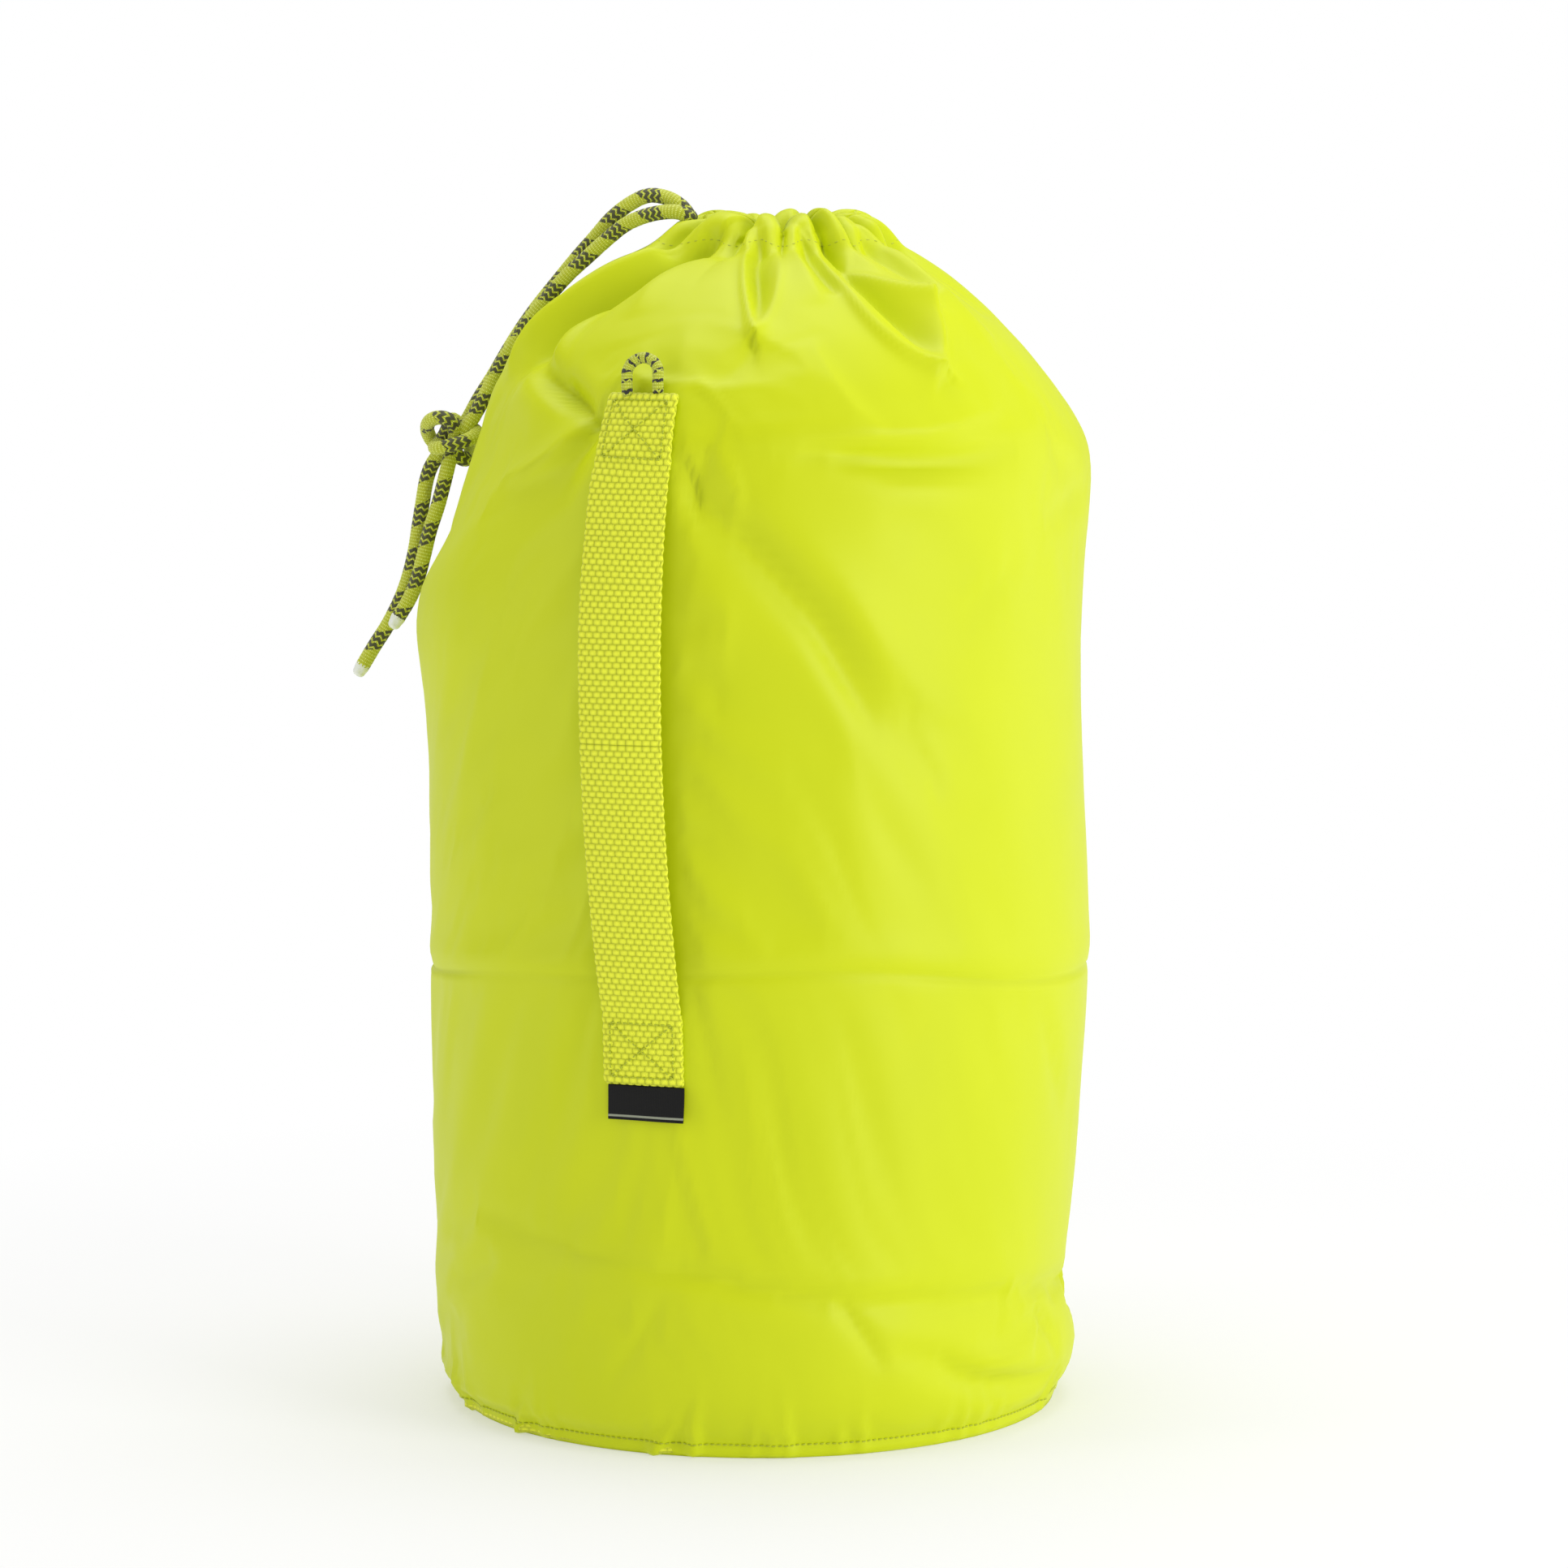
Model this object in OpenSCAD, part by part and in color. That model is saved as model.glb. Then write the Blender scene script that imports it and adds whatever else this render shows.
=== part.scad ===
// Filled drawstring rope bag: round fabric body, gathered mouth with a drawcord,
// webbing side handle, elastic loop and folded label.
// Origin at the centre of the base on the floor, +Z up, the handle faces -Y.

/* [Body] */
// Radius of the filled body at its widest
body_r = 160; // [130:1:195]
// Height of the gathered mouth above the floor
body_h = 575; // [475:1:700]
// Thickness of the coated side fabric
wall_t = 1.5; // [1:0.1:2.5]
// How far the base seam lies inside the widest radius
base_inset = 15; // [8:1:25]
// Height over which the side swells out above the base seam
base_swell = 25; // [15:1:40]

/* [Base] */
// Thickness of the base panel
base_t = 1; // [0.8:0.1:2]
// Height of the turned-up rim of the base panel
rim_h = 7; // [5:0.5:12]
// Thickness of the binding tape over the inner raw edges
tape_t = 1.2; // [0.8:0.1:2]
// Width of the binding tape
tape_w = 10; // [8:1:16]

/* [Shoulder] */
// Height of the shoulder on its high side
shoulder_high = 95; // [70:1:130]
// Height of the shoulder on its low side, where the cord lies
shoulder_low = 179; // [120:1:220]
// Height of the shoulder above the handle
shoulder_front = 90; // [70:1:120]
// Height of the shoulder at the back seam
shoulder_back = 100; // [70:1:140]
// Direction that the high shoulder faces, turned from +X
lean_turn = 19; // [0:1:40]

/* [Mouth] */
// Radius where the gathered hem meets the shoulder
hem_r = 60; // [50:1:75]
// Radius of the hole left in the middle of the gathers
throat_r = 16; // [13:1:24]
// Height of the hem above its seam
hem_h = 15; // [13:1:24]
// Sideways shift of the mouth towards the high shoulder
mouth_shift = 9; // [0:1:20]
// Width of the gap between the hem ends, where the cord comes out
exit_gap = 18; // [17.5:0.5:26]

/* [Drawcord] */
// Diameter of the drawcord
cord_d = 7; // [5.5:0.5:7]
// Length of the melted tip on each tail
tip_l = 5; // [3:0.5:8]

/* [Handle] */
// Width of the handle webbing
strap_w = 38; // [25:1:50]
// Thickness of the handle webbing
strap_t = 2; // [1.4:0.1:3]
// Height of the upper end of the handle below the mouth
handle_drop = 82; // [70:1:120]
// Length of the handle from end to end
handle_l = 316; // [240:1:330]
// Length of each folded and sewn end
sewn_l = 33; // [24:1:45]
// Finger gap behind the middle of the handle
finger_gap = 9; // [6:0.5:16]
// Sideways bow of the middle of the handle
handle_bow = 3.5; // [0:0.5:10]
// Angle round the body by which the handle's top end lies aside of its bottom end
handle_slant = 2.5; // [0:0.5:5]
// Margin between the stitched box and the webbing's edges
stitch_inset = 4; // [3:0.5:6]

/* [Elastic loop] */
// Diameter of the elastic cord
elastic_d = 5; // [4:0.5:6]
// Radius of the loop's round top, to the cord's centre
loop_r = 7.5; // [6.5:0.5:11]
// Length of the loop's straight legs
loop_leg = 5; // [3:0.5:10]
// Backward lean of the loop, in degrees
loop_lean = 16; // [5:1:25]

/* [Label] */
// Width of the folded label
label_w = 37; // [25:1:45]
// Height of the label below the handle
label_h = 16; // [10:1:25]
// Thickness of the folded label
label_t = 1.2; // [0.8:0.1:2]

/* [Thread] */
// Thickness of the sewing thread
thread_d = 0.8; // [0.5:0.1:1.2]

/* [Hidden] */

$fn = 64;

// Clearance between pieces that touch
fit = 0.3;
// Number of facets round the body
sides = 60;
// Rows of facets below and within the shoulder
side_rows = 8;
shoulder_rows = 12;
// Sagitta of one facet, which pieces on the outside stay clear of
facet_gap = 0.05;

base_r = body_r - base_inset;
foot_r = base_r - base_t - facet_gap;
hem_z = body_h - hem_h;
mouth = [mouth_shift * cos(lean_turn), mouth_shift * sin(lean_turn)];
handle_top = body_h - handle_drop;
handle_bottom = handle_top - handle_l;
// Direction of the handle's middle line, and of the back seam, at height z
handle_az = function (z) 270 - handle_slant * (z - handle_bottom) / handle_l;
seam_az = function (z) 90;
span_top = handle_top - sewn_l - fit;
span_bottom = handle_bottom + sewn_l + fit;
channel_r = 38;
channel_z = body_h - 6;
wall_edge = wall_t * 1.3;

// Colours
fabric_colour = [0.78, 0.85, 0.12];
webbing_colour = [0.86, 0.91, 0.27];
cord_colour = [0.72, 0.78, 0.08];
thread_colour = [0.62, 0.70, 0.05];
tip_colour = [0.92, 0.93, 0.88];
label_colour = [0.06, 0.06, 0.06];

// Centreline of the cord, in a frame turned by lean_turn so that +X is the high shoulder
outer_route = [
    [-32, 4.5, 573], [-37, 6, 579], [-44, 9, 583], [-53, 12, 584], [-62, 15, 580],
    [-71, 18, 573], [-79, 22, 564], [-88, 26, 554], [-98, 29, 542], [-107, 31, 531],
    [-115, 32, 520], [-122, 32, 509], [-129, 31, 497], [-136, 30, 486], [-141, 30, 477],
    [-144, 29, 472]
];
inner_route = [
    [-32, -4.5, 573], [-38, -4, 576], [-46, -1, 576], [-55, 3, 574], [-64, 7, 570],
    [-73, 11, 563], [-82, 14, 555], [-92, 17, 546], [-102, 20, 535], [-111, 22, 524],
    [-119, 23, 512], [-126, 24, 501], [-132, 22, 489], [-138, 21, 478],
    [-142, 20, 472]
];
long_route = [
    [-159, 27, 454], [-162, 27, 446], [-164, 27, 435], [-166, 27, 423], [-168, 27, 411],
    [-171, 27, 399], [-175, 27, 388], [-181, 27, 376], [-188, 27, 365], [-194, 27, 355]
];
short_route = [
    [-151, 19, 453], [-153, 19, 445], [-156, 19, 434], [-160, 19, 422], [-163, 19, 410],
    [-166, 19, 399], [-170, 19, 389], [-176, 19, 379]
];
knot_centre = [-149, 24, 467];
knot_ring_r = 6.5;
knot_turns = 3;
knot_lean = 24;

// Share of each shoulder profile in direction a: high, low, front, back
function shoulder_share(a) =
    let (c = cos(a - lean_turn), s = sin(a - lean_turn))
    [c > 0 ? c * c : 0, c < 0 ? c * c : 0, s < 0 ? s * s : 0, s > 0 ? s * s : 0];
function blend4(share, values) = share * values;
// Height where the shoulder starts to turn in
function shoulder_z(a) = hem_z - blend4(
    shoulder_share(a), [shoulder_high, shoulder_low, shoulder_front, shoulder_back]);
function shoulder_power(a) = blend4(shoulder_share(a), [1.2, 1.4, 1.6, 1.4]);
function shoulder_round(a) = blend4(shoulder_share(a), [0.75, 0.5, 0.7, 0.7]);

// Radius below the shoulder: a straight foot inside the rim, then a quick swell
function side_r(z) = z <= rim_h ? foot_r
    : foot_r + (body_r - foot_r) * (1 - exp((rim_h - z) / base_swell));
// Outer radius of the side fabric in direction a at height z
function wall_r(a, z) =
    let (z0 = shoulder_z(a), t = min(1, max(0, (z - z0) / (hem_z - z0))))
    z < z0 ? side_r(z)
    : hem_r + fit + (side_r(z0) - hem_r - fit)
        * pow(max(0, 1 - pow(t, shoulder_power(a))), shoulder_round(a));
// Centre of the cross-section, which moves under the mouth near the top
function centre(z) = mouth * pow(max(0, (z - hem_z * 0.75) / (hem_z * 0.25)), 2);
// Outward step square to the profile, as [radius, height]
function outward(a, z) =
    let (h = 0.5, z1 = min(z + h, hem_z - 1), z0 = z - h, dr = wall_r(a, z1) - wall_r(a, z0))
    [z1 - z0, -dr] / norm([dr, z1 - z0]);
// Point d outside the side fabric, square to it
function on_wall(a, z, d = 0) =
    let (c = centre(z), k = d * outward(a, z), r = wall_r(a, z) + k[0])
    [c.x + r * cos(a), c.y + r * sin(a), z + k[1]];

// Height of row i of the side fabric in direction a
function row_z(a, i) =
    i == 0 ? base_t
    : i <= side_rows ? rim_h + (shoulder_z(a) - rim_h) * pow((i - 1) / (side_rows - 1), 2)
    : let (t = (i - side_rows) / shoulder_rows)
        shoulder_z(a) + (hem_z - shoulder_z(a)) * (1 - pow(1 - t, 1.6));

// Quads that close a grid of rings, each with n points, whose last ring joins the first
function tube_faces(rings, n) = [
    for (i = [0 : rings - 1], j = [0 : n - 1])
        let (k = (i + 1) % rings, m = (j + 1) % n)
        each [[i * n + j, i * n + m, k * n + m], [i * n + j, k * n + m, k * n + j]]
];
// Quads of an open sweep of rings, and its two end caps
function sweep_faces(rings, n) = concat(
    [for (i = [0 : rings - 2], j = [0 : n - 1])
        let (m = (j + 1) % n)
        each [[i * n + j, i * n + m, (i + 1) * n + m], [i * n + j, (i + 1) * n + m, (i + 1) * n + j]]],
    [[for (j = [n - 1 : -1 : 0]) j]],
    [[for (j = [0 : n - 1]) (rings - 1) * n + j]]
);

function unit(v) = v / norm(v);
// Direction of a route at point i
function heading(p, i) = unit(p[min(i + 1, len(p) - 1)] - p[max(i - 1, 0)]);
// Ring of n points of radius r round point i, with a fixed reference direction
function route_ring(p, i, r, n, ref) =
    let (t = heading(p, i), u = unit(cross(ref, t)), v = cross(t, u))
    [for (j = [0 : n - 1]) p[i] + r * (cos(360 * j / n) * u + sin(360 * j / n) * v)];

// Tube swept along a route
module tube(p, r, n, ref = [0, 1, 0]) {
    polyhedron(
        points = [for (i = [0 : len(p) - 1]) each route_ring(p, i, r, n, ref)],
        faces = [for (f = sweep_faces(len(p), n)) [for (k = [len(f) - 1 : -1 : 0]) f[k]]]
    );
}

// Angle round the body that a step of u along it takes
function around(u) = u / body_r * 180 / PI;

// Strip lying on the side fabric along az(z), from z0 to z1, w wide and t thick, its inner
// face lift outside the fabric at its ends and lift + rise in the middle
module wall_strip(az, z0, z1, w, t, rows, cols, lift, rise = 0, bow = 0) {
    function u(j, s) = (j / cols - 0.5) * w + bow * sin(180 * s);
    function out(s) = lift + rise * pow(sin(180 * s), 0.7);
    function at(i, j, d) =
        let (s = i / rows, z = z0 + (z1 - z0) * s)
        on_wall(az(z) + around(u(j, s)), z, out(s) + d);
    polyhedron(
        points = [for (i = [0 : rows]) each concat(
            [for (j = [0 : cols]) at(i, j, 0)],
            [for (j = [cols : -1 : 0]) at(i, j, t)])],
        faces = sweep_faces(rows + 1, 2 * (cols + 1))
    );
}

// Line of thread along az(z), from u0 aside of it at z0 to u1 at z1, its centre d outside
// the side fabric
module thread_line(az, u0, z0, u1, z1, d, steps) {
    tube([for (i = [0 : steps])
        let (s = i / steps, z = z0 + (z1 - z0) * s)
        on_wall(az(z) + around(u0 + (u1 - u0) * s), z, d)],
        thread_d / 2, 6, [cos(az(z0)), sin(az(z0)), 0.2]);
}

// Outline of the gathered hem, as a section from the throat to the shoulder
module hem_section() {
    polygon([
        [throat_r, hem_z + 4], [throat_r + 3, hem_z], [channel_r - 4, hem_z - 6],
        [hem_r - 3, hem_z - 3], [hem_r, hem_z - wall_edge], [hem_r, hem_z],
        [channel_r + 6, body_h - 1], [channel_r + 3, body_h],
        [throat_r + 5, body_h], [throat_r, body_h - 5]
    ]);
}

module body_panel() {
    rows = side_rows + shoulder_rows;
    function edge(a, i) = i == rows
        ? on_wall(a, hem_z) - [0, 0, wall_edge]
        : on_wall(a, row_z(a, i), -wall_t);
    color(fabric_colour)
    polyhedron(
        points = concat(
            [for (i = [0 : rows], j = [0 : sides - 1])
                let (a = 360 * j / sides) on_wall(a, row_z(a, i))],
            [for (i = [rows : -1 : 0], j = [0 : sides - 1])
                let (a = 360 * j / sides) edge(a, i)]),
        faces = [for (f = tube_faces(2 * (rows + 1), sides)) [f[0], f[2], f[1]]]
    );
}

module base_panel() {
    color(fabric_colour)
    difference() {
        cylinder(r = base_r, h = rim_h, $fn = 180);
        translate([0, 0, base_t]) cylinder(r = base_r - base_t, h = rim_h, $fn = 180);
    }
}

module base_binding_tape() {
    tape_r = (foot_r - wall_t) * cos(180 / sides) - facet_gap;
    color(webbing_colour)
    translate([0, 0, base_t])
    rotate_extrude($fn = 180)
    translate([tape_r - tape_t, 0]) square([tape_t, tape_w]);
}

module base_topstitch() {
    color(thread_colour)
    translate([0, 0, rim_h - 2 * thread_d])
    rotate_extrude($fn = 180)
    translate([base_r, 0]) square([thread_d / 2, thread_d]);
}

module side_seam_flap() {
    color(fabric_colour)
    wall_strip(seam_az, rim_h + 6, hem_z - 6, 12, 0.8, 60, 2, 0.4);
}

module side_seam_stitching() {
    color(thread_colour)
    for (u = [-4, 4])
        thread_line(seam_az, u, rim_h + 8, u, hem_z - 8, 1.5 + thread_d / 2, 50);
}

module mouth_hem() {
    color(fabric_colour)
    translate([mouth.x, mouth.y, 0])
    rotate([0, 0, lean_turn])
    difference() {
        rotate_extrude() hem_section();
        translate([0, 0, channel_z])
        rotate_extrude() translate([channel_r, 0]) circle(r = cord_d / 2 + fit);
        translate([-hem_r - 1, -exit_gap / 2, channel_z - cord_d / 2 - fit])
        cube([hem_r + 1 - channel_r + cord_d / 2 + 1, exit_gap, 2 * hem_h]);
    }
}

module mouth_hem_stitching() {
    slope_r = hem_r - 5;
    slope_z = hem_z + 5 * (hem_h - 1) / (hem_r - channel_r - 6);
    color(thread_colour)
    translate([mouth.x, mouth.y, slope_z + thread_d])
    rotate([0, 0, lean_turn + 180 + 12])
    rotate_extrude(angle = 336) translate([slope_r, 0]) circle(r = thread_d / 2, $fn = 16);
}

module drawcord_in_hem() {
    gap_a = asin((exit_gap / 2 + fit) / channel_r);
    color(cord_colour)
    translate([mouth.x, mouth.y, channel_z])
    rotate([0, 0, lean_turn + 180 + gap_a])
    rotate_extrude(angle = 360 - 2 * gap_a) translate([channel_r, 0]) circle(d = cord_d);
}

module route_tube(p) {
    color(cord_colour) rotate([0, 0, lean_turn]) tube(p, cord_d / 2, 10);
}

module drawcord_strand_outer() { route_tube(outer_route); }
module drawcord_strand_inner() { route_tube(inner_route); }
module drawcord_tail_long() { route_tube(long_route); }
module drawcord_tail_short() { route_tube(short_route); }

module drawcord_knot() {
    color(cord_colour)
    rotate([0, 0, lean_turn])
    translate(knot_centre)
    rotate([0, knot_lean, 0]) {
        for (i = [0 : knot_turns - 1])
            translate([0, 0, (i - (knot_turns - 1) / 2) * cord_d * 0.8])
            rotate_extrude() translate([knot_ring_r, 0]) circle(d = cord_d);
        cylinder(r = knot_ring_r, h = (knot_turns - 1) * cord_d * 0.8, center = true);
    }
}

// Melted end of a tail, a short stub that follows the route's last direction
module tail_tip(p) {
    last = p[len(p) - 1];
    t = heading(p, len(p) - 1);
    color(tip_colour)
    rotate([0, 0, lean_turn])
    translate(last)
    rotate([0, atan2(t.x, t.z), 0])
    cylinder(d1 = cord_d, d2 = cord_d - 1, h = tip_l);
}
module tail_tip_long() { tail_tip(long_route); }
module tail_tip_short() { tail_tip(short_route); }

module handle_strap() {
    color(webbing_colour)
    wall_strip(handle_az, span_bottom, span_top, strap_w, strap_t, 24, 6,
        strap_t + fit, finger_gap, -handle_bow);
}
module handle_end(z0) {
    color(webbing_colour)
    wall_strip(handle_az, z0, z0 + sewn_l, strap_w, 2 * strap_t, 5, 6, fit);
}
module handle_end_upper() { handle_end(handle_top - sewn_l); }
module handle_end_lower() { handle_end(handle_bottom); }

// Box of stitches with a cross in it, on the outside of a sewn end
module handle_stitching(z0) {
    h = strap_w / 2 - stitch_inset;
    z1 = z0 + stitch_inset;
    z2 = z0 + sewn_l - stitch_inset;
    d = 2 * strap_t + fit + thread_d / 2 + 2 * facet_gap;
    color(thread_colour)
    union() {
        for (z = [z1, z2]) thread_line(handle_az, -h, z, h, z, d, 6);
        for (u = [-h, h]) thread_line(handle_az, u, z1, u, z2, d, 5);
        thread_line(handle_az, -h, z1, h, z2, d, 8);
        thread_line(handle_az, -h, z2, h, z1, d, 8);
    }
}
module handle_stitching_upper() { handle_stitching(handle_top - sewn_l); }
module handle_stitching_lower() { handle_stitching(handle_bottom); }

// Backing patch sewn inside the wall behind a handle end
module handle_patch(z0) {
    margin = 6;
    color(fabric_colour)
    wall_strip(handle_az, z0 - margin, z0 + sewn_l + margin, strap_w + 2 * margin, 1,
        6, 6, -wall_t - 1 - 3 * fit);
}
module handle_patch_upper() { handle_patch(handle_top - sewn_l); }
module handle_patch_lower() { handle_patch(handle_bottom); }

module elastic_loop() {
    r = elastic_d / 2;
    root = on_wall(handle_az(handle_top), handle_top, strap_t + r + fit);
    rim = on_wall(handle_az(handle_top), handle_top, 2 * strap_t + fit);
    color(cord_colour)
    translate([root.x, root.y, rim.z + r + fit])
    rotate([-loop_lean, 0, 0]) {
        for (side = [-1, 1]) {
            translate([side * loop_r, 0, 0]) sphere(r = r);
            translate([side * loop_r, 0, 0]) cylinder(r = r, h = loop_leg);
        }
        translate([0, 0, loop_leg]) rotate([90, 0, 0])
        rotate_extrude(angle = 180) translate([loop_r, 0]) circle(r = r);
    }
}

module folded_label() {
    root = on_wall(handle_az(handle_bottom), handle_bottom, fit + 0.2);
    hang = handle_bottom - fit - label_t / 2;
    color(label_colour)
    translate([1, root.y, hang])
    union() {
        translate([-label_w / 2, -label_t, -label_h]) cube([label_w, label_t, label_h]);
        translate([-label_w / 2, -label_t / 2, 0]) rotate([0, 90, 0]) cylinder(d = label_t, h = label_w);
    }
}

body_panel();
base_panel();
base_binding_tape();
base_topstitch();
side_seam_flap();
side_seam_stitching();
mouth_hem();
mouth_hem_stitching();
drawcord_in_hem();
drawcord_strand_outer();
drawcord_strand_inner();
drawcord_knot();
drawcord_tail_long();
drawcord_tail_short();
tail_tip_long();
tail_tip_short();
handle_strap();
handle_end_upper();
handle_end_lower();
handle_stitching_upper();
handle_stitching_lower();
handle_patch_upper();
handle_patch_lower();
elastic_loop();
folded_label();
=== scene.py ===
import math

import bpy
import numpy as np
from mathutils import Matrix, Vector


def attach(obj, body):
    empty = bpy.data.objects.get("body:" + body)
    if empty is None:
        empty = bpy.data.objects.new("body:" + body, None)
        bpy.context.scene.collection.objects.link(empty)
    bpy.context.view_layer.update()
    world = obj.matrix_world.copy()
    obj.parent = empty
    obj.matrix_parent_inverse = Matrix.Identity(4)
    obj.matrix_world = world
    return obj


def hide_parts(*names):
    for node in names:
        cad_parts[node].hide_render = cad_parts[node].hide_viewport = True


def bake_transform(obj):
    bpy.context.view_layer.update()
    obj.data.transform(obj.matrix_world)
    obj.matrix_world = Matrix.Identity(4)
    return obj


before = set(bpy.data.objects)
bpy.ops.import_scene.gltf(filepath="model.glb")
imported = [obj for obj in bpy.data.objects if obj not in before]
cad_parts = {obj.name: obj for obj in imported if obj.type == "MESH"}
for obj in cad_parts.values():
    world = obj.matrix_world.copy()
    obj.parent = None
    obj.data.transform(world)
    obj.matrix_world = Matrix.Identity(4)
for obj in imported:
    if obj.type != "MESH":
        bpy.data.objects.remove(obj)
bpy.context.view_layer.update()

# ---------------------------------------------------------------- sizes, in metres
MM = 0.001
LEAN = math.radians(19)          # the high shoulder faces this way, turned from +X
BODY_R = 160 * MM
FOOT_R = 145.4 * MM              # outside of the turned-up bottom edge
STITCH_Z = 7 * MM                # height of the base topstitch
SWELL = 25 * MM
HEM_R = 60 * MM
HEM_Z = 560 * MM
CREST_R = 38 * MM
CREST_Z = 576 * MM
MOUTH_SHIFT = 9 * MM
HANDLE_TOP = 493 * MM
HANDLE_BOTTOM = 177 * MM
SEWN = 33 * MM
STRAP_W = 38 * MM
STRAP_T = 2 * MM
SLANT = math.radians(2.5)
BOW = 3.5 * MM
FINGER_GAP = 9 * MM
CORD_D = 7 * MM
ELASTIC_D = 5 * MM
CLOTH_T = 0.5 * MM
FIT = 0.3 * MM
WEAVE_COLUMN = 3.7 * MM          # spacing of the webbing's floats across
WEAVE_ROW = 2.7 * MM             # and along
CREASE_DEPTH = 1.9 * MM
CREASE_W = 2.8 * MM              # half the width of the crease round the side
SEAM_TURN = math.radians(161)    # direction of the side seam from the front
STITCH_COLS = 6                  # sides of a stitch's tube
STITCH_ROWS = 7                  # rings along it

# Cord routes in the frame turned by LEAN, in metres
OUTER_ROUTE = np.array([
    (-32, 4.5, 573), (-37, 6, 579), (-44, 9, 583), (-53, 12, 584), (-62, 15, 580),
    (-71, 18, 573), (-79, 22, 564), (-88, 26, 554), (-98, 29, 542), (-107, 31, 531),
    (-115, 32, 520), (-122, 32, 509), (-129, 31, 497), (-136, 30, 486), (-141, 30, 477),
    (-144, 29, 472)]) * MM
INNER_ROUTE = np.array([
    (-32, -4.5, 573), (-38, -4, 576), (-46, -1, 576), (-55, 3, 574), (-64, 7, 570),
    (-73, 11, 563), (-82, 14, 555), (-92, 17, 546), (-102, 20, 535), (-111, 22, 524),
    (-119, 23, 512), (-126, 24, 501), (-132, 22, 489), (-138, 21, 478),
    (-142, 20, 472)]) * MM
LONG_ROUTE = np.array([
    (-159, 27, 454), (-162, 27, 446), (-164, 27, 435), (-166, 27, 423), (-168, 27, 411),
    (-171, 27, 399), (-175, 27, 388), (-181, 27, 376), (-188, 27, 365), (-194, 27, 355)]) * MM
SHORT_ROUTE = np.array([
    (-151, 19, 453), (-153, 19, 445), (-156, 19, 434), (-160, 19, 422), (-163, 19, 410),
    (-166, 19, 399), (-170, 19, 389), (-176, 19, 379)]) * MM
KNOT_CENTRE = np.array((-149, 24, 467)) * MM


# ---------------------------------------------------------------- helpers
def turned(p):
    """Points turned about the upright axis by LEAN, from the shoulder's frame to the row's."""
    p = np.asarray(p, float)
    c, s = math.cos(LEAN), math.sin(LEAN)
    x, y = p[..., 0], p[..., 1]
    return np.stack([c * x - s * y, s * x + c * y, p[..., 2]], -1)


def smooth(x):
    """0 below 0, 1 above 1, and 3x^2 - 2x^3 between."""
    x = np.clip(x, 0, 1)
    return x * x * (3 - 2 * x)


def unit(v):
    """Vectors divided by their length."""
    return v / np.maximum(np.linalg.norm(v, axis=-1, keepdims=True), 1e-12)


def grid_faces(rows, cols, closed_u=False, flip=False):
    """Quads of a grid of rows by cols points, joined round in the column direction if closed."""
    i = np.arange(rows - 1)[:, None]
    j = np.arange(cols if closed_u else cols - 1)[None, :]
    k = (j + 1) % cols
    quads = np.stack([i * cols + j, i * cols + k, (i + 1) * cols + k, (i + 1) * cols + j], -1)
    quads = quads.reshape(-1, 4)
    return quads[:, ::-1] if flip else quads


def closing_faces(rows, cols):
    """Quads that join the last row of a grid, closed round its columns, to its first row."""
    i = np.arange(cols)
    k = (i + 1) % cols
    last = (rows - 1) * cols
    return np.stack([last + i, i, k, last + k], -1)


def make_mesh(name, points, faces, uv=None, smooth_shade=True):
    """A mesh object from an array of points and one of quads or triangles."""
    mesh = bpy.data.meshes.new(name)
    points = np.asarray(points, np.float32).reshape(-1, 3)
    faces = np.asarray(faces, np.int32)
    n, k = faces.shape
    mesh.vertices.add(len(points))
    mesh.vertices.foreach_set("co", points.ravel())
    mesh.loops.add(n * k)
    mesh.loops.foreach_set("vertex_index", faces.ravel())
    mesh.polygons.add(n)
    mesh.polygons.foreach_set("loop_start", np.arange(0, n * k, k, dtype=np.int32))
    mesh.update(calc_edges=True)
    mesh.validate()
    if uv is not None:
        layer = mesh.uv_layers.new(name="weave")
        uv = np.asarray(uv, np.float32)
        uv = uv[faces] if uv.ndim == 2 else uv
        layer.data.foreach_set("uv", uv.ravel())
    if smooth_shade:
        mesh.shade_smooth()
    obj = bpy.data.objects.new(name, mesh)
    bpy.context.scene.collection.objects.link(obj)
    return obj


def seam_uv(uv, faces, turn):
    """Corner coordinates of a grid closed round: where a face spans the seam, the corners
    behind it are moved on by one turn, so that no face runs backwards."""
    corner = uv[faces]
    span = corner[..., 0].max(1) - corner[..., 0].min(1) > turn / 2
    corner[span, :, 0] += np.where(corner[span, :, 0] < uv[:, 0].mean(), turn, 0)
    return corner


def spline(p, n):
    """n points evenly spaced along a Catmull-Rom curve through the points p."""
    p = np.asarray(p, float)
    ext = np.vstack([2 * p[0] - p[1], p, 2 * p[-1] - p[-2]])
    u = np.linspace(0, len(p) - 1, 40 * len(p))
    i = np.minimum(u.astype(int), len(p) - 2)
    t = (u - i)[:, None]
    a, b, c, d = ext[i], ext[i + 1], ext[i + 2], ext[i + 3]
    q = 0.5 * (2 * b + (c - a) * t + (2 * a - 5 * b + 4 * c - d) * t ** 2
               + (3 * b - a - 3 * c + d) * t ** 3)
    run = np.r_[0, np.cumsum(np.linalg.norm(np.diff(q, axis=0), axis=1))]
    even = np.linspace(0, run[-1], n)
    return np.stack([np.interp(even, run, q[:, k]) for k in range(q.shape[1])], 1)


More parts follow.
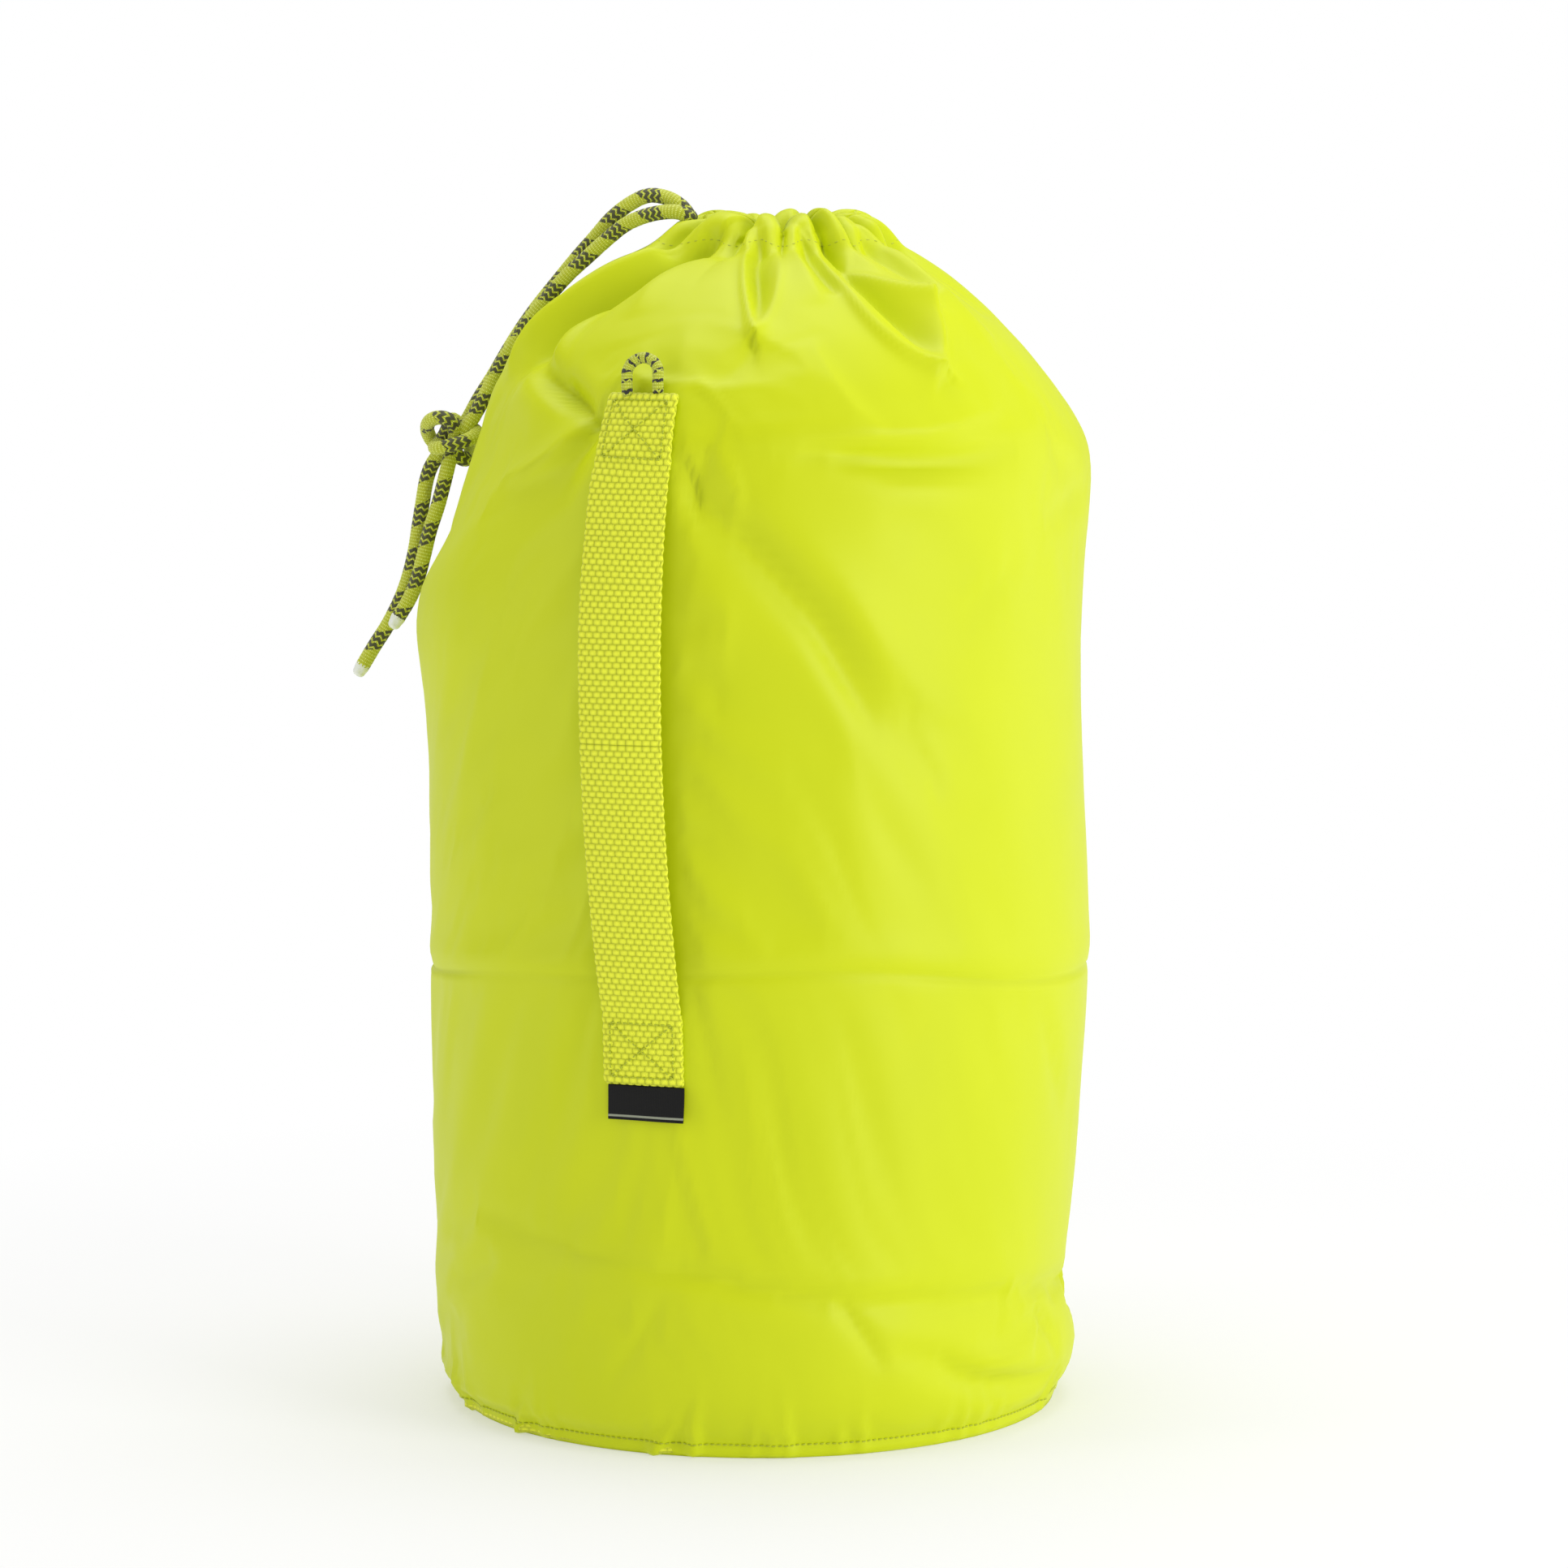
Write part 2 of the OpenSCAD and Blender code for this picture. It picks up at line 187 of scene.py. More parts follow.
def path_frames(p, ref=(0.0, 1.0, 0.0)):
    """Tangent and two side vectors at each point of a path, turning as little as they can."""
    t = unit(np.gradient(p, axis=0))
    u = np.zeros_like(t)
    side = np.cross(ref, t[0])
    u[0] = side / np.linalg.norm(side)
    for i in range(1, len(p)):
        side = u[i - 1] - t[i] * np.dot(u[i - 1], t[i])
        u[i] = side / np.linalg.norm(side)
    return t, u, np.cross(t, u)


# ---------------------------------------------------------------- the bag's smooth shape
def shares(theta):
    """Share of the high, low, front and back profiles in direction theta from the front."""
    s, c = np.sin(theta), np.cos(theta)
    return np.stack([np.where(s > 0, s * s, 0), np.where(s < 0, s * s, 0),
                     np.where(c > 0, c * c, 0), np.where(c < 0, c * c, 0)], -1)


def shoulder_z(theta):
    """Height where the shoulder starts to turn in."""
    return HEM_Z - shares(theta) @ (np.array([95, 179, 90, 100]) * MM)


# What the high and the low side add to the radius: (mm up, mm out)
HIGH_SIDE = np.array([(0, 0), (14, 2), (30, 0), (48, -7), (65, -9.5), (85, -8.5), (105, -6.5),
                      (135, -4), (165, -2), (205, 1), (250, 1), (306, -2.5), (365, -5),
                      (410, -3.5), (450, 0.3), (480, 0), (560, 0)])
LOW_SIDE = np.array([(0, 0), (14, 5), (28, 2), (45, 0), (85, -2.5), (125, -2), (206, -1.2),
                     (266, 0), (306, -0.5), (345, 1), (368, 4), (387, 5.5), (408, 3.2), (428, -4),
                     (450, -7), (473, -6.5), (495, 0), (517, 7), (540, 4), (560, 0)])


def side_r(z):
    """Radius below the shoulder: a straight foot, then a quick swell above the stitching."""
    return np.where(z < STITCH_Z, FOOT_R,
                    FOOT_R + (BODY_R - FOOT_R) * (1 - np.exp((STITCH_Z - z) / SWELL)))


def wall_r(theta, z):
    """Radius of the smooth side: the foot and swell, then a shoulder falling in to the hem."""
    s = shares(theta)
    z0 = shoulder_z(theta)
    t = np.clip((z - z0) / (HEM_Z - z0), 0, 1)
    power = s @ np.array([1.2, 1.4, 1.6, 1.4])
    bend = s @ np.array([0.75, 0.5, 0.7, 0.7])
    low = side_r(np.minimum(z, z0))
    side = np.interp(z / MM, HIGH_SIDE[:, 0], HIGH_SIDE[:, 1]) * s[..., 0]
    side = side + np.interp(z / MM, LOW_SIDE[:, 0], LOW_SIDE[:, 1]) * s[..., 1]
    rise = np.clip((z - HEM_Z) / (CREST_Z - HEM_Z), 0, 1)
    closing = (CREST_R - HEM_R) * (np.arcsin(rise) * 2 / math.pi) ** 1.15
    shoulder = (low - HEM_R) * np.maximum(0, 1 - t ** power) ** bend
    return HEM_R + closing + shoulder + side * MM * (1 - t ** 4)


def axis_x(z):
    """Sideways shift of the cross-section, growing as the square of the height near the top."""
    return MOUTH_SHIFT * np.clip((z - 0.75 * HEM_Z) / (0.25 * HEM_Z), 0, 1.1) ** 2


def on_side(theta, z):
    """Point of the smooth side in direction theta from the front, at height z."""
    theta, z = np.broadcast_arrays(np.asarray(theta, float), np.asarray(z, float))
    r = wall_r(theta, z)
    return np.stack([axis_x(z) + r * np.sin(theta), -r * np.cos(theta), z], -1)


# ---------------------------------------------------------------- folds
def fold(points, height, width, far=None, ends=(0.0, 0.0)):
    """A fold line through (degrees from the front, mm up) points. The cloth stands height mm
    out along it, falling off within width mm on the left of its run and far mm on the right."""
    return {"points": points, "height": height, "width": width, "far": far or width, "ends": ends}


FOLDS = [
    # left shoulder, above and beside the handle
    fold([(-62, 506), (-60, 520), (-56, 538), (-47, 556), (-40, 568)], -13, 8, 12, (0.2, 0.8)),
    fold([(-72, 500), (-69, 520), (-64, 540), (-57, 558)], 5.0, 9, 5, (0.1, 0.8)),
    fold([(-50, 556), (-52, 532), (-50, 512), (-46, 499)], 3.6, 3.5, 12, (0.3, 0.4)),
    fold([(-63, 504), (-53, 495), (-44, 488), (-34, 481)], 4.8, 6, 16, (0.0, 0.5)),
    fold([(-57, 506), (-47, 500), (-38, 491), (-32, 483)], -8.0, 6, 10, (0.2, 0.9)),
    fold([(-33, 482), (-36, 471), (-43, 460), (-54, 452)], 3.6, 4, 10, (0.7, 0.0)),
    fold([(-30, 478), (-32, 468), (-34, 455), (-34, 440)], -2.4, 5, 8, (0.9, 0.0)),
    fold([(-80, 505), (-80, 480), (-79, 455), (-80, 425)], 2.5, 9, 5, (0.2, 0.1)),
    # around the mouth, front
    fold([(-21, 574), (-17, 566), (-11, 555), (-6.2, 537), (-3.4, 522)], 3.0, 10, 2.2, (0.7, 1.0)),
    fold([(1, 573), (1.6, 560), (1.2, 545), (-0.8, 531), (-3, 522)], 2.0, 3.5, 9, (0.4, 0.8)),
    fold([(-14, 573), (-9, 561), (-4.5, 546), (-2.8, 533), (-2.8, 524)], -7, 7, 6, (0.8, 0.2)),
    fold([(19, 572), (22, 560), (31, 549), (44, 537)], 3.2, 4, 7, (0.6, 1.0)),
    fold([(44, 538), (41, 522), (35, 505)], 3.2, 2.6, 9, (1.0, 1.0)),
    fold([(17, 570), (18, 552), (21, 533), (27, 516), (35, 505)], 2.8, 9, 3, (0.2, 1.0)),
    fold([(21, 571), (25, 553), (31, 539), (35, 524), (36, 509)], -8.5, 9, 9, (0.6, 0.2)),
    fold([(66, 573), (60, 564), (54, 550), (55, 533), (60, 516)], 3.0, 6, 12, (0.6, 0.0)),
    fold([(75, 574), (72, 560), (72, 545), (76, 528)], -4.0, 9, 7, (0.8, 0.0)),
    fold([(-33, 574), (-35, 562), (-36, 545), (-34, 530)], 2.0, 9, 7, (0.6, 0.0)),
    fold([(7, 572), (8, 560), (10, 548), (12, 536)], 1.6, 4, 7, (0.8, 0.0)),
    fold([(12, 572), (13, 560), (15, 549), (17, 540)], -3.6, 4.5, 4.5, (0.9, 0.0)),
    fold([(52, 574), (49, 562), (48, 552), (50, 540)], -5.0, 6, 6, (0.9, 0.0)),
    # front, below the shoulder
    fold([(-18, 530), (-16, 510), (-15, 488)], 0.9, 8, 10),
    fold([(-27, 518), (-24, 504), (-21, 492)], 0.9, 6, 8),
    fold([(-2, 520), (-5, 508), (-10, 498)], -1.2, 10, 10),
    fold([(-8, 470), (-10, 455), (-11, 440)], -1.8, 5, 5),
    fold([(60, 470), (66, 460), (76, 452)], -1.6, 4, 8),
    fold([(-5, 468), (-3.3, 450), (-4.5, 430)], 1.9, 4, 6),
    fold([(2, 473), (14, 475), (28, 477), (45, 486)], 2.0, 12, 2.2, (0.2, 0.2)),
    fold([(4, 471), (20, 465), (32, 465), (46, 469)], -4.6, 8, 9, (0.2, 0.2)),
    fold([(7, 471), (18, 461), (30, 455), (44, 452)], 1.9, 2.2, 12, (0.3, 0.2)),
    fold([(8, 520), (12, 503), (16, 488), (21, 477)], 1.3, 5, 12),
    fold([(-13, 452), (-4, 431), (5.5, 404), (11, 386), (20, 345)], -5.4, 16, 8, (0.2, 0.1)),
    fold([(-2, 446), (9, 418), (18, 388), (24, 350)], 3.2, 12, 18, (0.0, 0.1)),
    fold([(36, 392), (42, 402), (50, 414)], -1.3, 3.5, 6),
    fold([(57, 434), (67, 441), (79, 449)], -1.8, 4, 6, (0.0, 0.5)),
    fold([(-8, 412), (-5, 397), (-6, 370)], 1.1, 4, 6),
    fold([(-8, 360), (-6, 352)], -0.9, 3, 3),
    fold([(56, 207), (62, 180), (68, 152)], -1.2, 5, 9),
    # low down
    fold([(-56, 108), (-30, 95), (-11, 90), (7, 81), (24, 75), (40, 71), (62, 66), (80, 62)],
         -1.7, 4, 7, (0.0, 1.0)),
    fold([(-15, 82), (-21, 55), (-28, 28)], -1.2, 5, 7, (0.2, 0.0)),
    fold([(15, 74), (19, 57), (22, 42)], -1.4, 5, 7, (0.6, 0.0)),
    fold([(33, 47), (38, 35), (46, 27), (68, 20)], -3.2, 5, 8, (0.0, 0.2)),
    fold([(40, 44), (48, 38), (56, 41), (62, 50)], 2.2, 5, 5),
    fold([(60, 58), (66, 44), (68, 30)], -1.8, 4, 6),
    fold([(50, 70), (60, 62), (70, 60)], 1.8, 4, 8),
    # the pocket in which the cord and its knot lie, on the low side
    fold([(-102, 548), (-103, 528), (-103, 505)], -4.0, 9, 9, (0.4, 1.0)),
    fold([(-103, 505), (-100, 480), (-99, 455), (-97, 425), (-96, 400)], -9.0, 20, 17, (0.5, 0.0)),
]

# The back has folds of its own, of the same family as those of the front
BACK_FOLDS = [
    fold([(150, 556), (158, 540), (166, 520), (170, 500)], -5.0, 10, 8, (0.7, 0.0)),
    fold([(128, 560), (136, 540), (148, 520), (150, 500)], 2.6, 8, 4, (0.5, 0.2)),
    fold([(196, 560), (192, 540), (200, 515), (212, 496)], -5.5, 9, 12, (0.8, 0.0)),
    fold([(212, 552), (216, 530), (222, 505), (222, 480)], 2.8, 5, 10, (0.4, 0.1)),
    fold([(232, 556), (236, 530), (232, 500)], -4.0, 10, 8, (0.7, 0.0)),
    fold([(108, 562), (112, 545), (110, 522)], -4.0, 8, 10, (0.8, 0.0)),
    fold([(140, 470), (158, 450), (170, 415), (172, 370)], -3.6, 12, 14, (0.1, 0.0)),
    fold([(228, 450), (216, 420), (208, 380), (206, 340)], -3.2, 14, 12, (0.1, 0.0)),
    fold([(150, 462), (168, 438), (180, 400)], 1.6, 12, 12),
    fold([(200, 300), (206, 270), (214, 250)], -1.2, 5, 7),
    fold([(120, 360), (130, 350), (136, 330)], -1.2, 5, 7),
    fold([(110, 96), (140, 84), (165, 92), (195, 80), (225, 88), (250, 104)], -1.6, 5, 7),
    fold([(150, 60), (156, 40), (158, 20)], -2.0, 5, 7, (0.0, 0.6)),
    fold([(205, 64), (199, 44), (198, 24)], -2.0, 5, 7, (0.0, 0.6)),
    fold([(238, 50), (246, 36), (256, 24)], -2.0, 6, 7, (0.0, 0.4)),
]

FOLD_GAIN = 1.5                  # all folds are this much deeper than their own height
FOLD_POINTS = 200                # points along a fold line


def fold_offset(points, normals, items):
    """Sum of all folds, in metres along the normal. Each one is its height times an envelope
    along its run, times exp(-(distance/width)^1.5), the distance taken square to the line."""
    total = np.zeros(len(points))
    for f in items:
        line = spline(np.array(f["points"], float), FOLD_POINTS)
        q = on_side(np.radians(line[:, 0]), line[:, 1] * MM)
        reach = 3.0 * max(f["width"], f["far"]) * MM
        low, high = q.min(0) - reach, q.max(0) + reach
        near = np.where(((points > low) & (points < high)).all(1))[0]
        if not len(near):
            continue
        p = points[near]
        gap = np.linalg.norm(p[:, None] - q[None], axis=2)
        k = gap.argmin(1)
        along = unit(np.gradient(q, axis=0))[k]
        side = np.einsum("ij,ij->i", np.cross(along, normals[near]), p - q[k])
        width = np.where(side > 0, f["far"], f["width"]) * MM
        s = k / (FOLD_POINTS - 1.0)
        start, end = f["ends"]
        hump = np.sin(np.pi * s)
        envelope = np.maximum(hump ** 0.6, np.where(s < 0.5, start, end)
                              * (1 - hump) + hump)
        d = gap[np.arange(len(near)), k]
        total[near] += FOLD_GAIN * f["height"] * MM * envelope * np.exp(-(d / width) ** 1.5)
    return total


# Directions of the deep grooves between the gathers at the mouth, in degrees from the front
GROOVES = np.array([-168, -147, -128, -110, -88, -66, -22, 2, 26, 41, 62, 80, 98, 118, 136, 158])
GROOVE_REACH = np.array([34, 46, 30, 40, 26, 42, 32, 36, 34, 30, 42, 44, 30, 48, 34, 40])
GATHER_DEPTH = 17 * MM


def gather_phase(theta):
    """For each direction: 0 in the middle of a gather and 1 in a groove, and the reach in
    millimetres of the nearer groove down the shoulder."""
    deg = (np.degrees(theta) + 180) % 360 - 180
    g = np.r_[GROOVES[-1] - 360, GROOVES, GROOVES[0] + 360]
    reach = np.r_[GROOVE_REACH[-1], GROOVE_REACH, GROOVE_REACH[0]]
    k = np.clip(np.searchsorted(g, deg) - 1, 0, len(g) - 2)
    x = (deg - g[k]) / (g[k + 1] - g[k])
    return np.abs(2 * x - 1), reach[k] * (1 - x) + reach[k + 1] * x


def gather_offset(theta, down):
    """Depth in metres of the gathers, down metres of cloth below the mouth's crest. A gather is
    round like a superellipse with sharp grooves, shallower as 1/(1 + (down/0.85 reach)^2.4)
    and gone at three times its reach."""
    x, reach = gather_phase(theta)
    round_lobe = 1 - (1 - np.minimum(x, 1) ** 2.2) ** 0.6
    fade = 1 / (1 + (down / (0.85 * reach * MM)) ** 2.4) * smooth(1 - down / (3.0 * reach * MM))
    return -GATHER_DEPTH * round_lobe * fade


def puckers(theta, z):
    """Small upright puckers above the base stitching: a sum of narrow humps with fixed places."""
    rng = np.random.default_rng(7)
    total = np.zeros_like(z)
    for centre, size, tall in zip(np.sort(rng.uniform(-math.pi, math.pi, 58)),
                                  rng.uniform(0.4, 1.9, 58), rng.uniform(9, 26, 58)):
        gap = (theta - centre + math.pi) % (2 * math.pi) - math.pi
        lean = gap + 0.12 * (z - STITCH_Z) / BODY_R * np.sign(math.sin(9 * centre))
        total += size * np.exp(-(lean * BODY_R / (3.4 * MM)) ** 2) * np.exp(
            -((z - STITCH_Z) / (tall * MM)) ** 2)
    for centre, size in ((-50, 4.2), (-18.7, 3.6), (96, 3), (170, 3.2), (232, 3)):
        gap = (np.degrees(theta) - centre + 180) % 360 - 180
        slanted = gap - 0.25 * (z / MM - 4)
        total += size * np.exp(-(slanted / 1.4) ** 2) * np.exp(-((z - 4 * MM) / (9 * MM)) ** 2)
    return total * MM


def soft_noise(p, scale, seed):
    """Smooth noise as a sum of twelve sine waves in fixed directions, about scale metres long."""
    rng = np.random.default_rng(seed)
    total = np.zeros(len(p))
    for _ in range(12):
        k = unit(rng.normal(size=3)) * 2 * math.pi / (scale * rng.uniform(0.7, 1.6))
        total += np.sin(p @ k + rng.uniform(0, 6.28))
    return total / 12


ROWS_UNDER, ROWS_FOOT, ROWS_LOW, ROWS_SHOULDER, ROWS_HEM = 4, 18, (8, 8, 34), 53, 14
ROWS_LINING = 26
COLS = 300
DISC_COLS = 240
FACE_COLS = 96                   # columns on each face of the webbing
LABEL_COLS = 60
SETTLE_FRAMES = 7
SETTLE_LIMIT = 2 * MM
LIP_Z = 29 * MM                  # top of the rows that stand closest together
FOOT_Z = 112 * MM
ROUND = np.linspace(-math.pi, math.pi, COLS, endpoint=False)
COLUMNS = ROUND - 0.34 * np.sin(ROUND)      # directions of the columns, closer together in front


def settle(grid, held):
    """The grid after a short cloth simulation: the cloth is a little larger than its shape,
    so it buckles into small creases, while the held points stay put. It stays near
    the shape that was worked out: a step of length d becomes limit * tanh(d/limit)."""
    rows, cols = grid.shape[:2]
    obj = make_mesh("settling", grid, grid_faces(rows, cols, closed_u=True))
    group = obj.vertex_groups.new(name="held")
    weight = held.ravel()
    for level in np.unique(np.round(weight, 1)):
        if level > 0:
            chosen = np.where(np.round(weight, 1) == level)[0]
            group.add(chosen.tolist(), float(level), "REPLACE")
    cloth = obj.modifiers.new("cloth", "CLOTH")
    rules = cloth.settings
    rules.quality = 4
    rules.mass = 0.12
    rules.air_damping = 4
    rules.tension_stiffness = rules.compression_stiffness = 24
    rules.shear_stiffness = 9
    rules.bending_stiffness = 0.35
    rules.vertex_group_mass = "held"
    rules.pin_stiffness = 1.0
    rules.shrink_min = -0.010
    rules.use_pressure = True
    rules.uniform_pressure_force = 0.8
    rules.effector_weights.gravity = 0.15
    cloth.collision_settings.use_self_collision = False
    cloth.collision_settings.use_collision = False
    cloth.point_cache.frame_start, cloth.point_cache.frame_end = 1, SETTLE_FRAMES
    scene = bpy.context.scene
    for f in range(1, SETTLE_FRAMES + 1):
        scene.frame_set(f)
    shown = obj.evaluated_get(bpy.context.evaluated_depsgraph_get())
    co = np.empty(rows * cols * 3, np.float32)
    shown.data.vertices.foreach_get("co", co)
    scene.frame_set(1)
    mesh = obj.data
    bpy.data.objects.remove(obj)
    bpy.data.meshes.remove(mesh)
    step = co.reshape(rows, cols, 3).astype(float) - grid
    size = np.linalg.norm(step, axis=2, keepdims=True)
    return grid + step * SETTLE_LIMIT * np.tanh(size / SETTLE_LIMIT) / np.maximum(size, 1e-9)


def crease_z(theta):
    """Height of the crease that runs all round, left by the bag's having lain folded."""
    return (230 - 15 * np.sin(theta) ** 2 + 1.5 * np.sin(5 * theta)) * MM


def side_rows(theta):
    """Radius and height of every row of the side in each direction: under the edge, up the lip,
    the swell, the straight side, the shoulder, and over the hem to the mouth's crest."""
    z0 = shoulder_z(theta)[None]
    under_r = np.linspace(136, 145, ROWS_UNDER)[:, None] * MM + 0 * z0
    under_z = np.full((ROWS_UNDER, 1), 0.35) * MM + 0 * z0
    lip = np.array([0.6, 1.5, 2.6, 3.8, 5.0, 6.2, 7.0, 7.8, 9, 10.5, 12.5, 15, 18, 21.5,
                    25.5])[:, None] * MM + 0 * z0
    s = (np.arange(ROWS_FOOT) / ROWS_FOOT)[:, None]
    foot = LIP_Z + (FOOT_Z - LIP_Z) * s + 0 * z0
    crease = crease_z(theta)[None]
    marks = [FOOT_Z + 0 * z0, crease - 8 * MM, crease + 8 * MM, z0]
    low = np.vstack([a + (b - a) * (np.arange(n) / n)[:, None]
                     for a, b, n in zip(marks, marks[1:], ROWS_LOW)])
    t = (np.arange(ROWS_SHOULDER) / ROWS_SHOULDER)[:, None]
    high = z0 + (HEM_Z - z0) * (1 - (1 - t) ** 1.7)
    z = np.vstack([lip, foot, low, high])
    r = wall_r(theta[None] + 0 * z, z)
    lip_bend = 1.2 * MM * smooth(1 - z / (2.5 * MM))
    r = r - lip_bend
    a = (np.arange(ROWS_HEM + 1) / ROWS_HEM)[:, None]
    hem_r = HEM_R + (CREST_R - HEM_R) * a ** 1.15 + 0 * z0
    hem_z = HEM_Z + (CREST_Z - HEM_Z) * np.sin(a * math.pi / 2) ** 0.9 + 0 * z0
    return np.vstack([under_r, r, hem_r]), np.vstack([under_z, z, hem_z])


def blur_rows(a, passes, first):
    """Rows from first on, averaged with their neighbours passes times."""
    for _ in range(passes):
        a[first:-1] = 0.25 * a[first - 1:-2] + 0.5 * a[first:-1] + 0.25 * a[first + 1:]
    return a


def side_surface():
    """Grid of points of the bag's side. The smooth shape is moved along its normal by the folds,
    the gathers, the puckers and a little soft noise."""
    r, z = (blur_rows(a, passes=8, first=30) for a in side_rows(COLUMNS))
    full = COLUMNS[None] + 0 * z
    p = np.stack([axis_x(z) + r * np.sin(full), -r * np.cos(full), z], -1)
    du = np.roll(p, -1, 1) - np.roll(p, 1, 1)
    dv = np.gradient(p, axis=0)
    n = unit(np.cross(du, dv))
    run = np.cumsum(np.linalg.norm(np.diff(p, axis=0, prepend=p[:1]), axis=2), axis=0)
    down = run[-1][None] - run
    flat_p, flat_n, flat_t = p.reshape(-1, 3), n.reshape(-1, 3), full.ravel()
    move = fold_offset(flat_p, flat_n, FOLDS) + fold_offset(flat_p, flat_n, BACK_FOLDS)
    above = flat_p[:, 2] - crease_z(flat_t)
    move -= CREASE_DEPTH * np.exp(-np.abs(above / CREASE_W) ** 1.3) * (
        0.75 + 0.25 * np.sin(3 * flat_t + 1))
    move += 0.9 * MM * np.exp(-((above - 10 * MM) / (8 * MM)) ** 2)
    move += 0.8 * MM * soft_noise(flat_p, 90 * MM, 3) + 0.35 * MM * soft_noise(flat_p, 34 * MM, 5)
    move *= smooth((flat_p[:, 2] - STITCH_Z) / (14 * MM))
    move += puckers(flat_t, flat_p[:, 2]) * smooth(flat_p[:, 2] / (2 * MM))
    handle = handle_hold(flat_t, flat_p[:, 2])
    move = move * (1 - handle) + np.minimum(move, 0) * 0.3 * handle
    move = move.reshape(z.shape)
    gather = gather_offset(full, down)
    near_mouth = smooth(1 - down / (34 * MM))[..., None]
    out = np.stack([np.sin(full), -np.cos(full), 0 * full], -1)
    way = unit(n * (1 - near_mouth) + (out + np.array([0, 0, 0.25])) * near_mouth)
    q = p + n * move[..., None] * (1 - 0.4 * near_mouth) + way * gather[..., None]
    x, _ = gather_phase(full)
    crest = smooth(1 - down / (16 * MM))
    uneven = 1.4 * np.sin(5 * full + 2) + 1.0 * np.sin(8 * full + 0.6)
    q[..., 2] -= (5.5 * MM * x ** 3 + uneven * MM) * crest
    notch = np.exp(-((full + math.pi / 2) / math.radians(11)) ** 2)
    q[..., 2] -= 9 * MM * notch * smooth(1 - down / (14 * MM))
    held = np.maximum(smooth(1 - (q[..., 2] - 6 * MM) / (6 * MM)),
                      smooth(1 - (down - 8 * MM) / (10 * MM)))
    held = np.maximum(held, handle_hold(flat_t, flat_p[:, 2]).reshape(z.shape))
    q = settle(q, held)
    q[..., 2] = np.maximum(q[..., 2], 0.15 * MM)
    return q, run


def handle_line(z):
    """Direction of the handle's middle line from the front, at height z."""
    return -LEAN - SLANT * (z - HANDLE_BOTTOM) / (HANDLE_TOP - HANDLE_BOTTOM)


def handle_hold(theta, z):
    """1 where the cloth is held by the handle's sewn ends or lies behind it, fading round it."""
    aside = np.abs(theta - handle_line(z)) * BODY_R
    across = smooth(1.6 - aside / (20 * MM))
    along = smooth((z - 168 * MM) / (12 * MM)) * smooth((500 * MM - z) / (10 * MM))
    return across * along


def thicken(obj, thickness, offset=-1):
    """Gives a sheet its thickness, inwards unless offset says otherwise."""
    m = obj.modifiers.new("thickness", "SOLIDIFY")
    m.thickness = thickness
    m.offset = offset
    return obj


def bag_side():
    """The side panel, from under the bottom edge to the mouth's crest."""
    q, run = side_surface()
    uv = np.stack([COLUMNS[None] * BODY_R + 0 * run, run], -1).reshape(-1, 2)
    faces = grid_faces(len(q), COLS, closed_u=True)
    obj = make_mesh("bag_side", turned(q), faces, seam_uv(uv, faces, 2 * math.pi * BODY_R))
    return thicken(obj, CLOTH_T), q


def mouth_lining(crest):
    """The turned-in hem: from the crest over and down into the throat, its gathers closing up."""
    theta = COLUMNS
    a = (np.arange(ROWS_LINING) / (ROWS_LINING - 1))[:, None]
    centre = np.array([axis_x(np.array(CREST_Z)), 0, 0])
    crest_r = np.linalg.norm(crest[:, :2] - centre[:2], axis=1)[None]
    crest_z = crest[:, 2][None]
    x, _ = gather_phase(theta)
    throat = (17 - 3 * x[None] ** 2) * MM
    r = crest_r + (throat - crest_r) * np.sin(a * math.pi / 2) ** 0.8
    z = crest_z + 1.2 * MM * np.sin(a * math.pi * 1.1) - 34 * MM * a ** 2.2
    p = np.stack([centre[0] + r * np.sin(theta), -r * np.cos(theta), z], -1)
    faces = grid_faces(ROWS_LINING, COLS, closed_u=True)
    uv = np.stack([theta[None] * BODY_R + 0 * a, 60 * MM * a + 0 * r], -1).reshape(-1, 2)
    obj = make_mesh("mouth_hem_gathers", turned(p), faces,
                    seam_uv(uv, faces, 2 * math.pi * BODY_R))
    return thicken(obj, CLOTH_T)


def base_disc():
    """The base panel: a disc with a turned-up rim, faintly rippled, closed below and above."""
    theta = np.linspace(-math.pi, math.pi, DISC_COLS, endpoint=False)
    r = np.r_[0.5, 20, 45, 70, 95, 115, 130, 138, 142, 143.4, 143.8, 143.6, 142.6, 142.2, 141,
              136, 128, 110, 80, 40, 0.5] * MM
    z = np.r_[0, 0, 0, 0, 0, 0, 0, 0, 0.05, 0.4, 1.4, 6, 6, 1.6, 1.1, 1, 1, 1, 1, 1, 1] * MM
    rr = r[:, None] + 0 * theta
    zz = z[:, None] + 0 * theta
    ripple = 0.5 * MM * np.sin(9 * theta)[None] * smooth((rr - 60 * MM) / (60 * MM))
    zz = np.maximum(zz + np.where(z[:, None] > 0.9 * MM, ripple, 0), 0)
    p = np.stack([rr * np.sin(theta), -rr * np.cos(theta), zz], -1)
    uv = p[..., :2].reshape(-1, 2)
    faces = grid_faces(len(r), DISC_COLS, closed_u=True)
    return make_mesh("base_panel_cloth", turned(p), faces, uv[faces])


side_obj, SIDE = bag_side()
lining_obj = mouth_lining(SIDE[-1])
base_obj = base_disc()
for obj, node in ((side_obj, "body_panel"), (lining_obj, "mouth_hem"),
                  (base_obj, "base_panel")):
    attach(obj, "bag")
    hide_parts(node)


